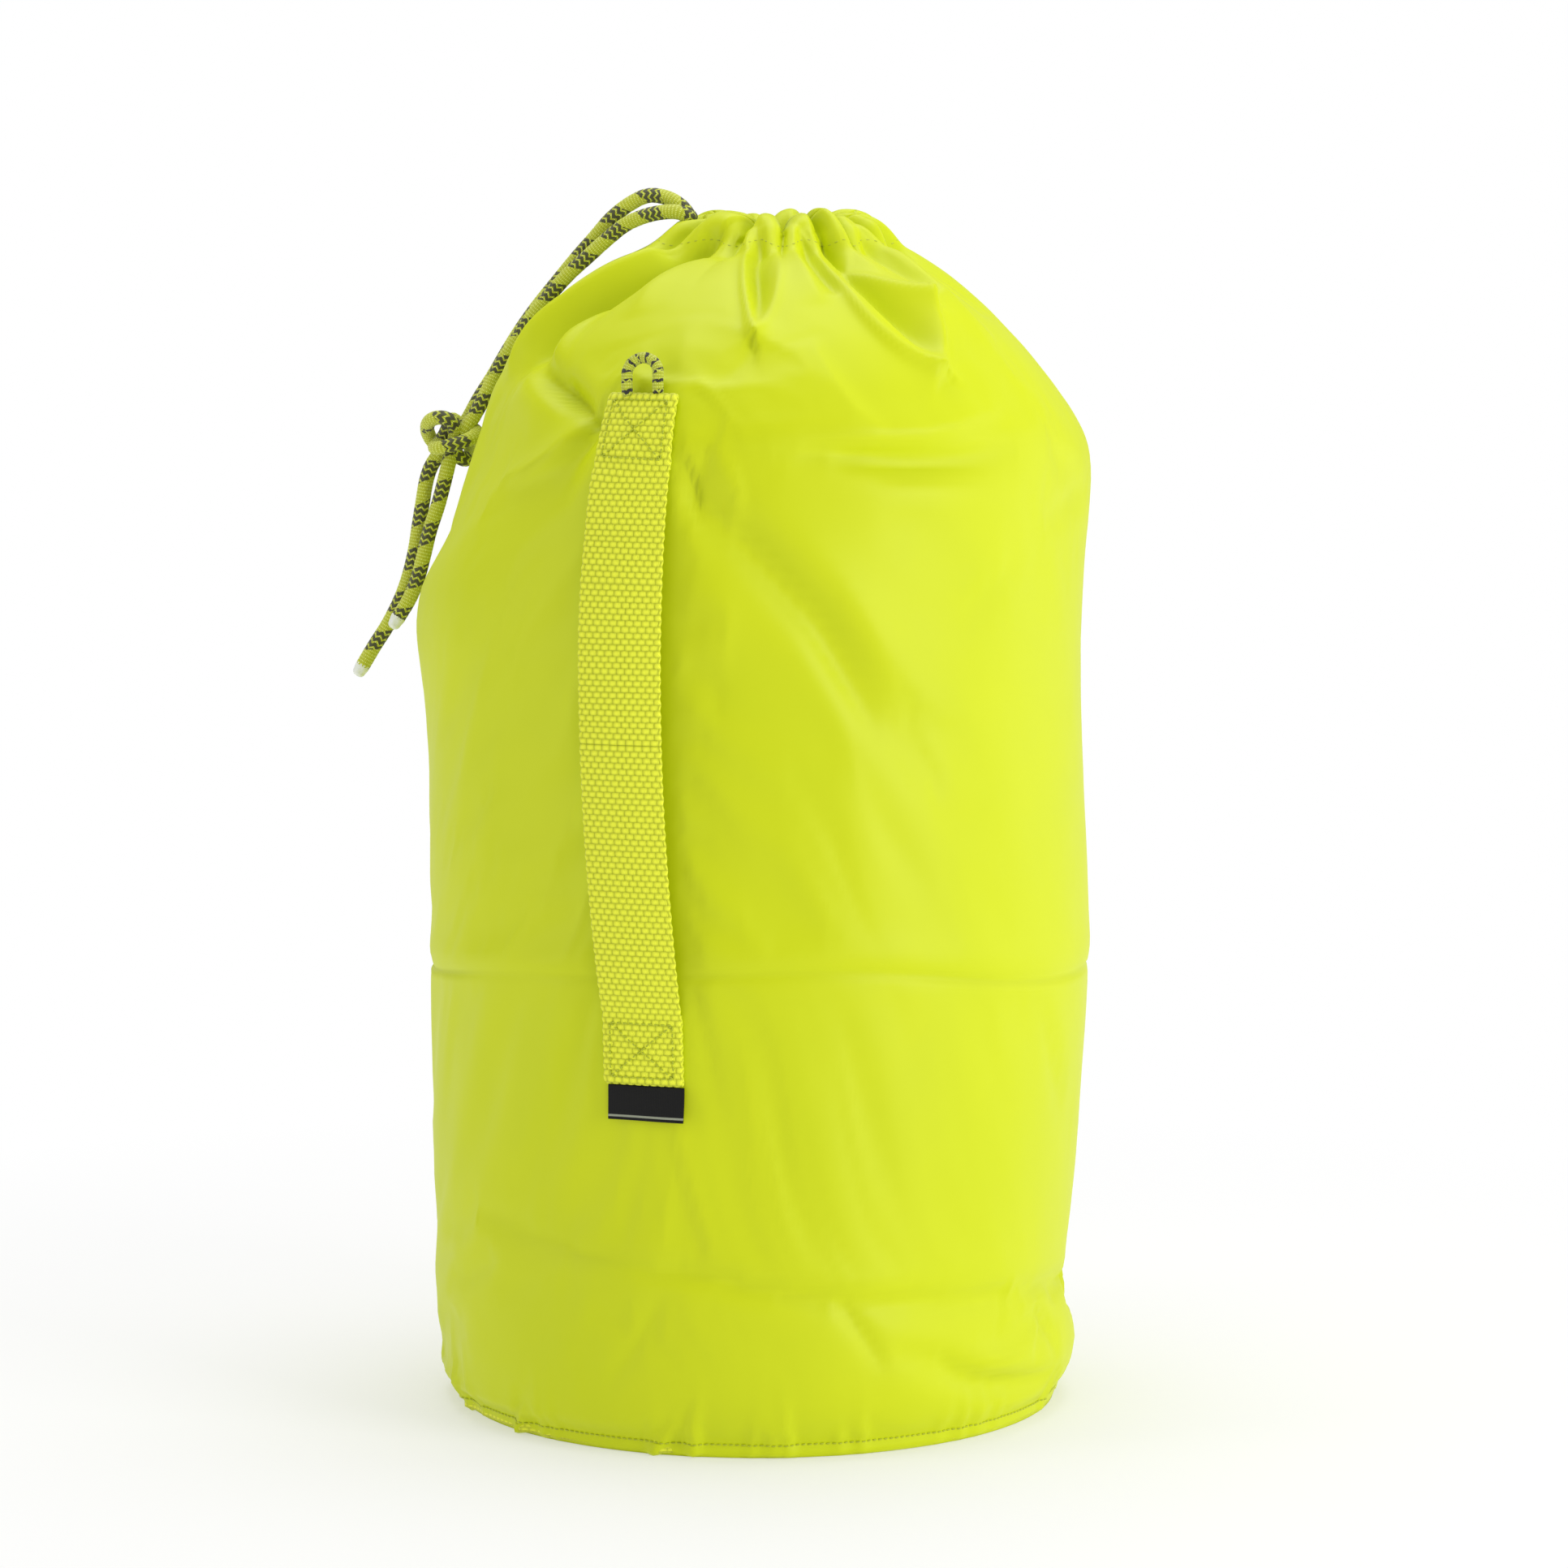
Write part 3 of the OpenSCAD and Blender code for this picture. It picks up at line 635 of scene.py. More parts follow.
def profile_normal(theta, z):
    """Outward direction of the smooth side, square to its profile."""
    h = 0.5 * MM
    up = np.minimum(z + h, HEM_Z - 1 * MM)
    dr = wall_r(theta, up) - wall_r(theta, z - h)
    dz = up - (z - h)
    n = np.stack([dz * np.sin(theta), -dz * np.cos(theta), -dr], -1)
    return unit(n)


def off_side(theta, z, d):
    """Point d metres outside the smooth side."""
    theta, z, d = np.broadcast_arrays(np.asarray(theta, float), np.asarray(z, float), d)
    return on_side(theta, z) + profile_normal(theta, z) * d[..., None]


def on_cloth(theta, z):
    """Point and normal of the folded side, by interpolation in its grid: first between two
    neighbouring columns, then up the column to the asked height."""
    theta = (np.asarray(theta, float) + math.pi) % (2 * math.pi) - math.pi
    ring = np.r_[COLUMNS, COLUMNS[0] + 2 * math.pi]
    k = np.clip(np.searchsorted(ring, theta) - 1, 0, COLS - 1)
    t = ((theta - ring[k]) / (ring[k + 1] - ring[k]))[None, :, None]
    grid = np.concatenate([SIDE, SIDE[:, :1]], 1)
    normal = unit(np.cross(np.gradient(grid, axis=1), np.gradient(grid, axis=0)))
    line = grid[ROWS_UNDER:, k] * (1 - t) + grid[ROWS_UNDER:, k + 1] * t
    aim = normal[ROWS_UNDER:, k] * (1 - t) + normal[ROWS_UNDER:, k + 1] * t
    row = np.maximum.accumulate(line[..., 2])
    below = np.clip((row <= z).sum(0) - 1, 0, len(row) - 2)
    n = np.arange(len(theta))
    low, high = row[below, n], row[below + 1, n]
    s = np.clip((z - low) / np.maximum(high - low, 1e-9), 0, 1)[:, None]
    place = line[below, n] * (1 - s) + line[below + 1, n] * s
    return place, unit(aim[below, n] * (1 - s) + aim[below + 1, n] * s)


def braid(u, v, strands, pitch):
    """Relief of a braid, 0 to 1, at u turns round and v metres along: two families of rounded
    strands wind both ways, and each is over the other where a chequer of the two says so."""
    a = strands / 2 * u + v / pitch
    b = strands / 2 * u - v / pitch
    ridge_a = np.abs(np.sin(math.pi * a)) ** 0.7
    ridge_b = np.abs(np.sin(math.pi * b)) ** 0.7
    over = np.sin(math.pi * (a + b) * 0.5 + math.pi / 4) * np.sin(math.pi * (a - b) * 0.5)
    return np.where(over > 0, ridge_a, ridge_b)


def rope(name, path, diameter, strands=24, pitch=0.0032, relief=0.00018, round_n=84,
         step=0.00042, start_v=0.0, taper=None):
    """A braided cord swept along a path: a tube whose radius follows the braid's relief, closed
    by a rounded cap at each end. taper gives the radius's factor along the path, 0 to 1."""
    run = np.linalg.norm(np.diff(path, axis=0), axis=1).sum()
    n = max(int(run / step), 24)
    p = spline(path, n)
    t, a, b = path_frames(p)
    v = np.linspace(0, run, n) + start_v
    u = np.linspace(0, 1, round_n, endpoint=False)
    r = diameter / 2 - relief + relief * 1.6 * braid(u[None], v[:, None], strands, pitch)
    if taper is not None:
        r = r * taper(np.linspace(0, 1, n))[:, None]
    ang = 2 * math.pi * u
    ring = p[:, None] + r[..., None] * (np.cos(ang)[None, :, None] * a[:, None]
                                        + np.sin(ang)[None, :, None] * b[:, None])
    caps = np.array([0.96, 0.82, 0.55, 0.02])
    rise = np.array([0.12, 0.32, 0.46, 0.52]) * diameter * 0.6
    foot = p[0] + (ring[0] - p[0])[None] * caps[::-1, None, None] - t[0] * rise[::-1, None, None]
    head = p[-1] + (ring[-1] - p[-1])[None] * caps[:, None, None] + t[-1] * rise[:, None, None]
    mesh = np.vstack([foot, ring, head])
    vv = np.r_[np.full(len(caps), v[0]), v, np.full(len(caps), v[-1])]
    uv = np.stack(np.broadcast_arrays(u[None], vv[:, None]), -1).reshape(-1, 2)
    faces = grid_faces(len(mesh), round_n, closed_u=True)
    return make_mesh(name, turned(mesh), faces, seam_uv(uv, faces, 1.0)), p


def stitch_row(name, path, normal, pitch=0.0029, length=0.0024, radius=0.0004):
    """A row of stitches along a path: each is a small round bar that bends down into the cloth
    at both ends, a tube of six sides and seven rings."""
    run = np.r_[0, np.cumsum(np.linalg.norm(np.diff(path, axis=0), axis=1))]
    count = max(int(run[-1] / pitch), 1)
    mid = (np.arange(count) + 0.5) * run[-1] / count
    s = np.linspace(-0.5, 0.5, STITCH_ROWS)
    where = mid[:, None] + s[None] * length
    centre = np.stack([np.interp(where, run, path[:, c]) for c in range(3)], -1)
    up = unit(np.stack([np.interp(where, run, normal[:, c]) for c in range(3)], -1))
    along = unit(np.gradient(centre, axis=1))
    aside = unit(np.cross(along, up))
    rng = np.random.default_rng(len(name))
    aside_shift = rng.normal(0, 0.06, (count, 1, 1)) * radius
    sink = radius * (0.35 - 2.1 * np.abs(2 * s) ** 4)
    centre = centre + up * sink[None, :, None] + aside * aside_shift
    a = np.linspace(0, 2 * math.pi, STITCH_COLS, endpoint=False)
    thick = radius * np.array([0.55, 0.9, 1, 1, 1, 0.9, 0.55])
    ring = centre[:, :, None] + thick[None, :, None, None] * (
        np.cos(a)[:, None] * aside[:, :, None] + np.sin(a)[:, None] * up[:, :, None])
    tube = grid_faces(STITCH_ROWS, STITCH_COLS, closed_u=True, flip=True)
    base = (np.arange(count) * STITCH_ROWS * STITCH_COLS)[:, None, None]
    tubes = (tube[None] + base).reshape(-1, 4)
    ends = np.array([[0, 1, 2, 3], [0, 3, 4, 5], [39, 38, 37, 36], [41, 40, 39, 36]])
    faces = np.vstack([tubes, (ends[None] + base).reshape(-1, 4)])
    return make_mesh(name, turned(ring.reshape(-1, 3)), faces)


def weave_relief(u, v):
    """Relief of the handle's webbing, 0 to 1: rows of rounded floats, every second row shifted
    by half, each float a superellipse in plan."""
    row = np.floor(v / WEAVE_ROW)
    dy = v / WEAVE_ROW - row - 0.5
    x = u / WEAVE_COLUMN + 0.5 * (row % 2)
    dx = x - np.floor(x) - 0.5
    return np.sqrt(np.clip(1 - np.abs(dx / 0.5) ** 2.6 - np.abs(dy / 0.52) ** 2.6, 0, 1))


def webbing_half(name, upper):
    """Half of the handle, from its middle to its sewn end, where it folds under and runs back.
    A rounded, flat section with woven relief is swept along the folded path."""
    middle = (HANDLE_TOP + HANDLE_BOTTOM) / 2
    end_z = HANDLE_TOP if upper else HANDLE_BOTTOM
    sign = 1 if upper else -1
    span_end = end_z - sign * SEWN
    half = abs(end_z - middle) - 1.1 * MM
    fold_r = STRAP_T / 2
    flat = half - fold_r
    back = SEWN - 2 * fold_r
    length = flat + math.pi * fold_r + back
    v = np.linspace(0, length, int(length / (0.55 * MM)))
    bend = np.clip((v - flat) / fold_r, 0, math.pi)
    z = middle + sign * (np.minimum(v, flat) + fold_r * np.sin(bend)
                         - np.maximum(v - flat - math.pi * fold_r, 0))
    layer = STRAP_T * 1.5 + FIT - (1 - np.cos(bend)) * fold_r
    bottom, top = HANDLE_BOTTOM + SEWN + FIT, HANDLE_TOP - SEWN - FIT
    s = np.clip((z - bottom) / (top - bottom), 0, 1)
    hump = np.sin(math.pi * s)
    layer = layer + np.where(v < flat, FINGER_GAP * hump ** 0.7, 0)
    bow = -BOW * hump
    half_w, half_t = STRAP_W / 2, STRAP_T / 2
    edge = np.linspace(-math.pi / 2, math.pi / 2, 7)[1:-1]
    face_u = np.linspace(-half_w + half_t, half_w - half_t, FACE_COLS)
    u = np.r_[face_u, half_w - half_t + half_t * np.cos(edge), face_u[::-1],
              -half_w + half_t - half_t * np.cos(edge)]
    w = np.r_[np.full(FACE_COLS, -half_t), half_t * np.sin(edge), np.full(FACE_COLS, half_t),
              -half_t * np.sin(edge)]
    u, w, vv = u[None], w[None], v[:, None]
    relief = 0.6 * MM * weave_relief(u + half_w, vv) - 0.5 * MM
    scallop = 0.22 * MM * np.cos(math.pi * vv / WEAVE_ROW + np.where(u > 0, math.pi, 0))
    thick = w + np.sign(w) * relief * smooth(np.abs(w) / half_t * 2)
    at_edge = smooth((np.abs(u) - half_w + 3 * MM) / (2 * MM))
    wide = u * (1 - 0.012 * hump[:, None]) + scallop * at_edge
    cup = 0.5 * MM * (u / half_w) ** 2 * hump[:, None]
    way = np.cos(bend)[:, None]
    lean = np.sin(bend)[:, None] * sign
    theta = handle_line(z)[:, None] + (wide + bow[:, None]) / BODY_R
    height = z[:, None] + thick * lean
    p = off_side(theta, height, layer[:, None] + thick * way - cup)
    rows, cols = p.shape[:2]
    ends = np.stack([p[0].mean(0)[None] + (p[0] - p[0].mean(0)) * 0.001,
                     p[-1].mean(0)[None] + (p[-1] - p[-1].mean(0)) * 0.001])
    mesh = np.concatenate([ends[:1], p, ends[1:]])
    along = np.r_[0, v, length]
    uv = np.stack(np.broadcast_arrays(u + half_w, along[:, None]), -1).reshape(-1, 2)
    faces = grid_faces(rows + 2, cols, closed_u=True, flip=upper)
    return make_mesh(name, turned(mesh), faces, uv)


def box_stitches(z0):
    """Paths of the box of stitches with a cross in it, on the outside of a sewn end."""
    h, inset = STRAP_W / 2 - 4 * MM, 4 * MM
    z1, z2 = z0 + inset, z0 + SEWN - inset
    corner = [((-h, z1), (h, z1)), ((h, z1), (h, z2)), ((h, z2), (-h, z2)), ((-h, z2), (-h, z1)),
              ((-h, z1), (h, z2)), ((-h, z2), (h, z1))]
    for (ua, za), (ub, zb) in corner:
        s = np.linspace(0, 1, 30)
        z = za + (zb - za) * s
        theta = handle_line(z) + (ua + (ub - ua) * s) / BODY_R
        yield off_side(theta, z, 2 * STRAP_T + FIT + 0.1 * MM), profile_normal(theta, z)


def join(name, objs):
    """One object of several, keeping the first one's data."""
    with bpy.context.temp_override(active_object=objs[0], selected_editable_objects=objs):
        bpy.ops.object.join()
    objs[0].name = name
    return objs[0]


def seam_flap():
    """The felled seam up the back: a band 12.6 mm wide of doubled cloth lying on the folded
    side, its edges rounded down to it, faintly puckered between the stitches."""
    z = np.linspace(14, 553, 190) * MM
    u = np.r_[-6.3, -6.0, -5.2, -4, -2, 0, 2, 4, 5.2, 6.0, 6.3] * MM
    lift = np.r_[-0.5, 0.45, 1.0, 0.85, 1.1, 1.15, 1.1, 0.85, 1.0, 0.45, -0.5] * MM
    tt, zz = np.meshgrid(SEAM_TURN + u / BODY_R, z)
    tt = SEAM_TURN + u[None] / np.maximum(wall_r(tt, zz), HEM_R)
    p, n = on_cloth(tt.ravel(), zz.ravel())
    ripple = 0.12 * MM * np.sin(zz * 2 * math.pi / (12 * MM))
    q = p.reshape(len(z), -1, 3) + n.reshape(len(z), -1, 3) * (lift[None] + ripple)[..., None]
    uv = np.stack(np.broadcast_arrays(u[None], z[:, None]), -1).reshape(-1, 2)
    flap = make_mesh("side_seam_flap_cloth", turned(q), grid_faces(len(z), len(u)), uv)
    thicken(flap, 0.6 * MM)
    rows = []
    for shift in (-4, 4):
        zs = np.linspace(16, 550, 400) * MM
        path, normal = on_cloth(SEAM_TURN + shift * MM / wall_r(SEAM_TURN + 0 * zs, zs), zs)
        rows.append(stitch_row("seam_stitches", path + normal * 0.95 * MM, normal))
    return flap, join("side_seam_stitches", rows)


def binding_tape():
    """Tape bound round the inside of the bottom edge, 10 mm high and 1.3 mm thick, following
    the side, with rounded long edges."""
    z = np.r_[1.7, 1.5, 1.7, 2.6, 5, 8, 10.4, 11.3, 11.5, 11.3, 10.4, 8, 5, 2.6] * MM
    depth = np.r_[0.25, 0.7, 1.15, 1.35, 1.4, 1.4, 1.35, 1.15, 0.7, 0.25, 0.15, 0.1, 0.1,
                  0.15] * MM     # from the cloth inwards
    tt, zz = np.meshgrid(ROUND, z)
    p, n = on_cloth(tt.ravel(), np.full(tt.size, 6 * MM))
    p = p.reshape(len(z), -1, 3) - n.reshape(len(z), -1, 3) * (depth[:, None, None] + CLOTH_T)
    p[..., 2] = zz
    rows = np.r_[0, np.cumsum(np.hypot(np.diff(z), np.diff(depth)))]
    uv = np.stack(np.broadcast_arrays(ROUND[None] * FOOT_R, rows[:, None]), -1).reshape(-1, 2)
    faces = np.concatenate([grid_faces(len(z), COLS, closed_u=True, flip=True),
                            closing_faces(len(z), COLS)])
    return make_mesh("base_binding_tape_band", turned(p), faces,
                     seam_uv(uv, faces, 2 * math.pi * FOOT_R))


def handle_patch(name, z0):
    """A doubled patch of fabric inside the wall behind a sewn end of the handle."""
    z = np.linspace(z0 - 6 * MM, z0 + SEWN + 6 * MM, 40)
    u = np.linspace(-25, 25, 44) * MM
    uu, zz = np.meshgrid(u, z)
    theta = handle_line(zz) + uu / BODY_R
    p, n = on_cloth(theta.ravel(), zz.ravel())
    edge = smooth((np.abs(uu) - 24 * MM) / MM) * 0.25 * MM
    p = p.reshape(zz.shape + (3,)) - n.reshape(zz.shape + (3,)) * (
        CLOTH_T + 0.15 * MM + edge)[..., None]
    uv = np.stack([uu, zz], -1).reshape(-1, 2)
    return thicken(make_mesh(name, turned(p), grid_faces(len(z), len(u)), uv), 0.9 * MM)


def label():
    """A folded label: a ribbon that hangs from under the handle, folds at the bottom and runs
    back up behind, its lower corners curling away a little."""
    w, h, t, fold_r = 37 * MM, 16 * MM, 0.4 * MM, 0.6 * MM
    down, up = np.linspace(0.2, 1.57, 5), np.linspace(0.3, 1.57, 5)
    v = np.r_[np.linspace(0, h - fold_r, 26), h - fold_r + fold_r * np.sin(down),
              h - fold_r + fold_r * np.cos(up), np.linspace(h - 0.9 * MM, 0, 18)]
    side = np.r_[np.ones(26), np.cos(down), -np.sin(up), -np.ones(18)]
    uu, vv = np.meshgrid(np.linspace(-w / 2, w / 2, LABEL_COLS), v)
    dd = np.repeat(side[:, None], LABEL_COLS, 1)
    curl = (1.3 * MM * smooth((uu / w + 0.5) * 1.3 - 0.2) ** 2 + 0.5 * MM) * (vv / h) ** 2
    wave = 0.25 * MM * np.sin(uu * 190 + 1) * vv / h
    root = off_side(handle_line(HANDLE_BOTTOM), HANDLE_BOTTOM, 1.25 * MM)
    c, s = math.cos(LEAN), math.sin(LEAN)
    out = np.array([-s, -c, 0])
    aside = np.array([c, -s, 0])
    p = (root + aside * (uu[..., None] + 1 * MM) + out * (dd * 0.28 * MM + curl + wave)[..., None]
         - np.array([0, 0, 1]) * (vv[..., None] + 0.25 * MM))
    uv = np.stack([uu + w / 2, np.where(dd > 0, vv, 2 * h - vv)], -1).reshape(-1, 2)
    obj = make_mesh("folded_label_cloth", turned(p), grid_faces(len(v), LABEL_COLS, flip=True),
                    uv)
    return thicken(obj, t, 0)


def loop_path():
    """Middle line of the elastic loop: up one leg, round the arc and down the other."""
    root = off_side(handle_line(HANDLE_TOP), HANDLE_TOP, 4.8 * MM)
    rim = off_side(handle_line(HANDLE_TOP), HANDLE_TOP, 4.3 * MM)
    c, s = math.cos(LEAN), math.sin(LEAN)
    tilt, bend_r = math.radians(16), 7.5 * MM
    aside, inward = np.array([c, -s, 0]), np.array([s, c, 0])
    up = np.array([0, 0, 1]) * math.cos(tilt) + inward * math.sin(tilt)
    base = np.array([root[0], root[1], rim[2] + 2.8 * MM])
    arc = [base + aside * bend_r * math.cos(k) + up * (5 * MM + bend_r * math.sin(k))
           for k in np.linspace(0, math.pi, 25)]
    legs = [base + np.array([0, 0, d]) + inward * k * MM for d, k in
            ((-0.011, 2.9), (-0.0055, 2.7), (-0.0018, 1.2))]
    sunk = [p + aside * bend_r for p in legs]
    sunk_too = [p - aside * bend_r for p in legs[::-1]]
    return np.array(sunk + arc + sunk_too), base


def knot_path():
    """Middle line of the knot, a torus knot that winds twice round and three times through."""
    t = np.linspace(0, 2 * math.pi, 200)
    lean = math.radians(24)
    r = 8.8 + 4.8 * np.cos(3 * t)
    p = np.stack([r * np.cos(2 * t + 3.0), r * np.sin(2 * t + 3.0), 7.6 * np.sin(3 * t)], -1) * MM
    c, s = math.cos(lean), math.sin(lean)
    x, z = p[:, 0] * c + p[:, 2] * s, p[:, 2] * c - p[:, 0] * s
    return np.stack([x, p[:, 1], z], -1) + KNOT_CENTRE


# ---------------------------------------------------------------- cords
def lengthen(route, end, at_start=False):
    """A route carried on to another point, given in millimetres."""
    point = np.asarray(end, float) * MM
    return np.vstack([point, route]) if at_start else np.vstack([route, point])


def tip(route):
    """Middle line of a melted cord end, 4.2 mm long, straight on from the route's end."""
    way = unit(route[-1] - route[-2])
    return route[-1] + way * np.array([-0.6, 1.6, 3.6])[:, None] * MM


outer_cord, outer_line = rope("drawcord_outer", lengthen(OUTER_ROUTE, (-148, 27, 466)), CORD_D)
inner_cord, inner_line = rope("drawcord_inner", lengthen(INNER_ROUTE, (-146, 21, 466)), CORD_D,
                              start_v=0.004)
long_tail, long_line = rope("drawcord_tail_long_cord",
                            lengthen(LONG_ROUTE, (-153, 26, 462), True), CORD_D,
                            start_v=0.011)
short_tail, short_line = rope("drawcord_tail_short_cord",
                              lengthen(SHORT_ROUTE, (-149, 21, 462), True), CORD_D,
                              start_v=0.003)
knot, _ = rope("drawcord_knot_cord", knot_path(), CORD_D * 0.97, start_v=0.006)
tip_long, _ = rope("tail_tip_long_melted", tip(LONG_ROUTE), CORD_D * 0.99, relief=0.00008,
                   pitch=0.009, round_n=48, step=0.0003,
                   taper=lambda k: 1.02 - 0.10 * k + 0.03 * np.sin(5 * k))
tip_short, _ = rope("tail_tip_short_melted", tip(SHORT_ROUTE), CORD_D * 0.99, relief=0.00008,
                    pitch=0.009, round_n=48, step=0.0003,
                    taper=lambda k: 1.02 - 0.12 * k + 0.04 * np.sin(4 * k + 1))
HEM_CORD_R = 31 * MM             # radius of the cord's turn inside the gathered hem
EXIT_GAP = math.asin(9.3 / 38)   # half of the opening where both strands come out
hem_turn = np.linspace(math.pi + EXIT_GAP, 3 * math.pi - EXIT_GAP, 120)
hem_line = np.stack([MOUTH_SHIFT + HEM_CORD_R * np.cos(hem_turn), HEM_CORD_R * np.sin(hem_turn),
                     561 * MM + 0 * hem_turn], -1)
hem_cord, hem_middle = rope("drawcord_hem_cord", hem_line, CORD_D, start_v=0.009)
elastic_line, loop_base = loop_path()
elastic, elastic_middle = rope("elastic_loop_cord", elastic_line, ELASTIC_D, strands=18,
                               pitch=0.0026, relief=0.00015, round_n=66, step=0.00035,
                               taper=lambda k: 0.72 + 0.28 * smooth(
                                   np.minimum(k, 1 - k) / 0.16))

# ---------------------------------------------------------------- sewn pieces
webbing_upper = webbing_half("webbing_upper", True)
webbing_lower = webbing_half("webbing_lower", False)
box_upper = join("box_stitches_upper", [stitch_row("box_upper", a, b, 0.0028, 0.0023, 0.00042)
                                        for a, b in box_stitches(HANDLE_TOP - SEWN)])
box_lower = join("box_stitches_lower", [stitch_row("box_lower", a, b, 0.0028, 0.0023, 0.00042)
                                        for a, b in box_stitches(HANDLE_BOTTOM)])
seam, seam_thread = seam_flap()
label_cloth = label()
tape = binding_tape()
patch_upper = handle_patch("handle_patch_upper_cloth", HANDLE_TOP - SEWN)
patch_lower = handle_patch("handle_patch_lower_cloth", HANDLE_BOTTOM)
round_line = np.linspace(-math.pi, math.pi, 1201)
foot_path, foot_normal = on_cloth(round_line, np.full(1201, STITCH_Z - 0.4 * MM))
base_thread = stitch_row("base_topstitches", foot_path + foot_normal * 0.15 * MM, foot_normal)
hem_round = np.linspace(-math.pi / 2 + 0.18, 1.5 * math.pi - 0.18, 900)
hem_wave = HEM_Z + (1.5 + 1.6 * np.cos(gather_phase(hem_round)[0] * math.pi)) * MM
hem_path, hem_normal = on_cloth(hem_round, hem_wave)
hem_thread = stitch_row("hem_stitches", hem_path - hem_normal * 0.24 * MM, hem_normal, 0.0038,
                        0.0026, 0.00034)

out_point = tuple(turned(np.array([-32, 4.5, 573]) * MM))
past_point = tuple(turned(np.array([-66, 10, 574]) * MM))
for obj, node in ((outer_cord, "drawcord_strand_outer"), (inner_cord, "drawcord_strand_inner")):
    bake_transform(obj)
    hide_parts(node)
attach(knot, "drawcord")
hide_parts("drawcord_knot")
for obj, body, node, route in ((long_tail, "tail_long", "drawcord_tail_long", LONG_ROUTE),
                               (short_tail, "tail_short", "drawcord_tail_short", SHORT_ROUTE)):
    tuple(turned(route[0] + np.array([4, 0, 6]) * MM))
    tuple(turned(route[2]))
    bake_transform(obj)
    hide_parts(node)
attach(tip_long, "tail_long")
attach(tip_short, "tail_short")
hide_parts("tail_tip_long")
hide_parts("tail_tip_short")
tuple(turned(loop_base - np.array([0, 0, 3]) * MM))
tuple(turned(loop_base + np.array([0, 0, 4]) * MM))
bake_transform(elastic)
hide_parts("elastic_loop")
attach(hem_cord, "bag")
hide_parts("drawcord_in_hem")
for obj, sign, node in ((webbing_upper, 1, "handle_end_upper"),
                        (webbing_lower, -1, "handle_end_lower")):
    edge = (HANDLE_TOP - SEWN) if sign > 0 else (HANDLE_BOTTOM + SEWN)
    inner = edge - sign * 75 * MM
    tuple(turned(on_side(handle_line(edge), edge)))
    tuple(turned(on_side(handle_line(inner), inner)))
    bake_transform(obj)
    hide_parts(node)
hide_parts("handle_strap")
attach(label_cloth, "label")
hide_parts("folded_label")
for obj, node in ((box_upper, "handle_stitching_upper"), (box_lower, "handle_stitching_lower"),
                  (seam, "side_seam_flap"), (seam_thread, "side_seam_stitching"),
                  (base_thread, "base_topstitch"), (hem_thread, "mouth_hem_stitching"),
                  (tape, "base_binding_tape"), (patch_upper, "handle_patch_upper"),
                  (patch_lower, "handle_patch_lower")):
    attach(obj, "bag")
    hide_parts(node)


def measured(line):
    """Length along a line of points."""
    return float(np.linalg.norm(np.diff(line, axis=0), axis=1).sum())


def declare_cord(obj, line, route_start):
    """Works out a cord's start, measured length and middle line in the row's frame, and keeps none
    of them.
    """
    tuple(turned(route_start))
    measured(line)
    [tuple(q) for q in turned(line)]


declare_cord(outer_cord, outer_line, OUTER_ROUTE[0])
declare_cord(inner_cord, inner_line, INNER_ROUTE[0])
declare_cord(long_tail, long_line, long_line[0])
declare_cord(short_tail, short_line, short_line[0])
declare_cord(hem_cord, hem_middle, hem_middle[0])
declare_cord(elastic, elastic_middle, elastic_middle[0])


# ---------------------------------------------------------------- materials
class Nodes:
    """A small helper for building node trees."""

    def __init__(self, tree):
        self.tree = tree

    def add(self, kind, inputs=None, **settings):
        node = self.tree.nodes.new(kind)
        for key, value in settings.items():
            setattr(node, key, value)
        for key, value in (inputs or {}).items():
            self.put(node.inputs[key], value)
        return node

    def put(self, socket, value):
        if isinstance(value, bpy.types.NodeSocket):
            self.tree.links.new(value, socket)
        else:
            socket.default_value = value

    def math(self, operation, a, b=0.0, c=0.0):
        node = self.add("ShaderNodeMath", {0: a, 1: b, 2: c}, operation=operation)
        return node.outputs[0]

    def mix(self, factor, a, b):
        node = self.add("ShaderNodeMix", data_type="RGBA")
        self.put(node.inputs["Factor"], factor)
        self.put(node.inputs[6], a)
        self.put(node.inputs[7], b)
        return node.outputs[2]


def new_group(name, inputs, outputs):
    """An empty shader node group with named inputs and outputs."""
    tree = bpy.data.node_groups.new(name, "ShaderNodeTree")
    for label_text, kind, default in inputs:
        socket = tree.interface.new_socket(label_text, in_out="INPUT", socket_type=kind)
        socket.default_value = default
    for label_text, kind in outputs:
        tree.interface.new_socket(label_text, in_out="OUTPUT", socket_type=kind)
    n = Nodes(tree)
    return tree, n, n.add("NodeGroupInput"), n.add("NodeGroupOutput")


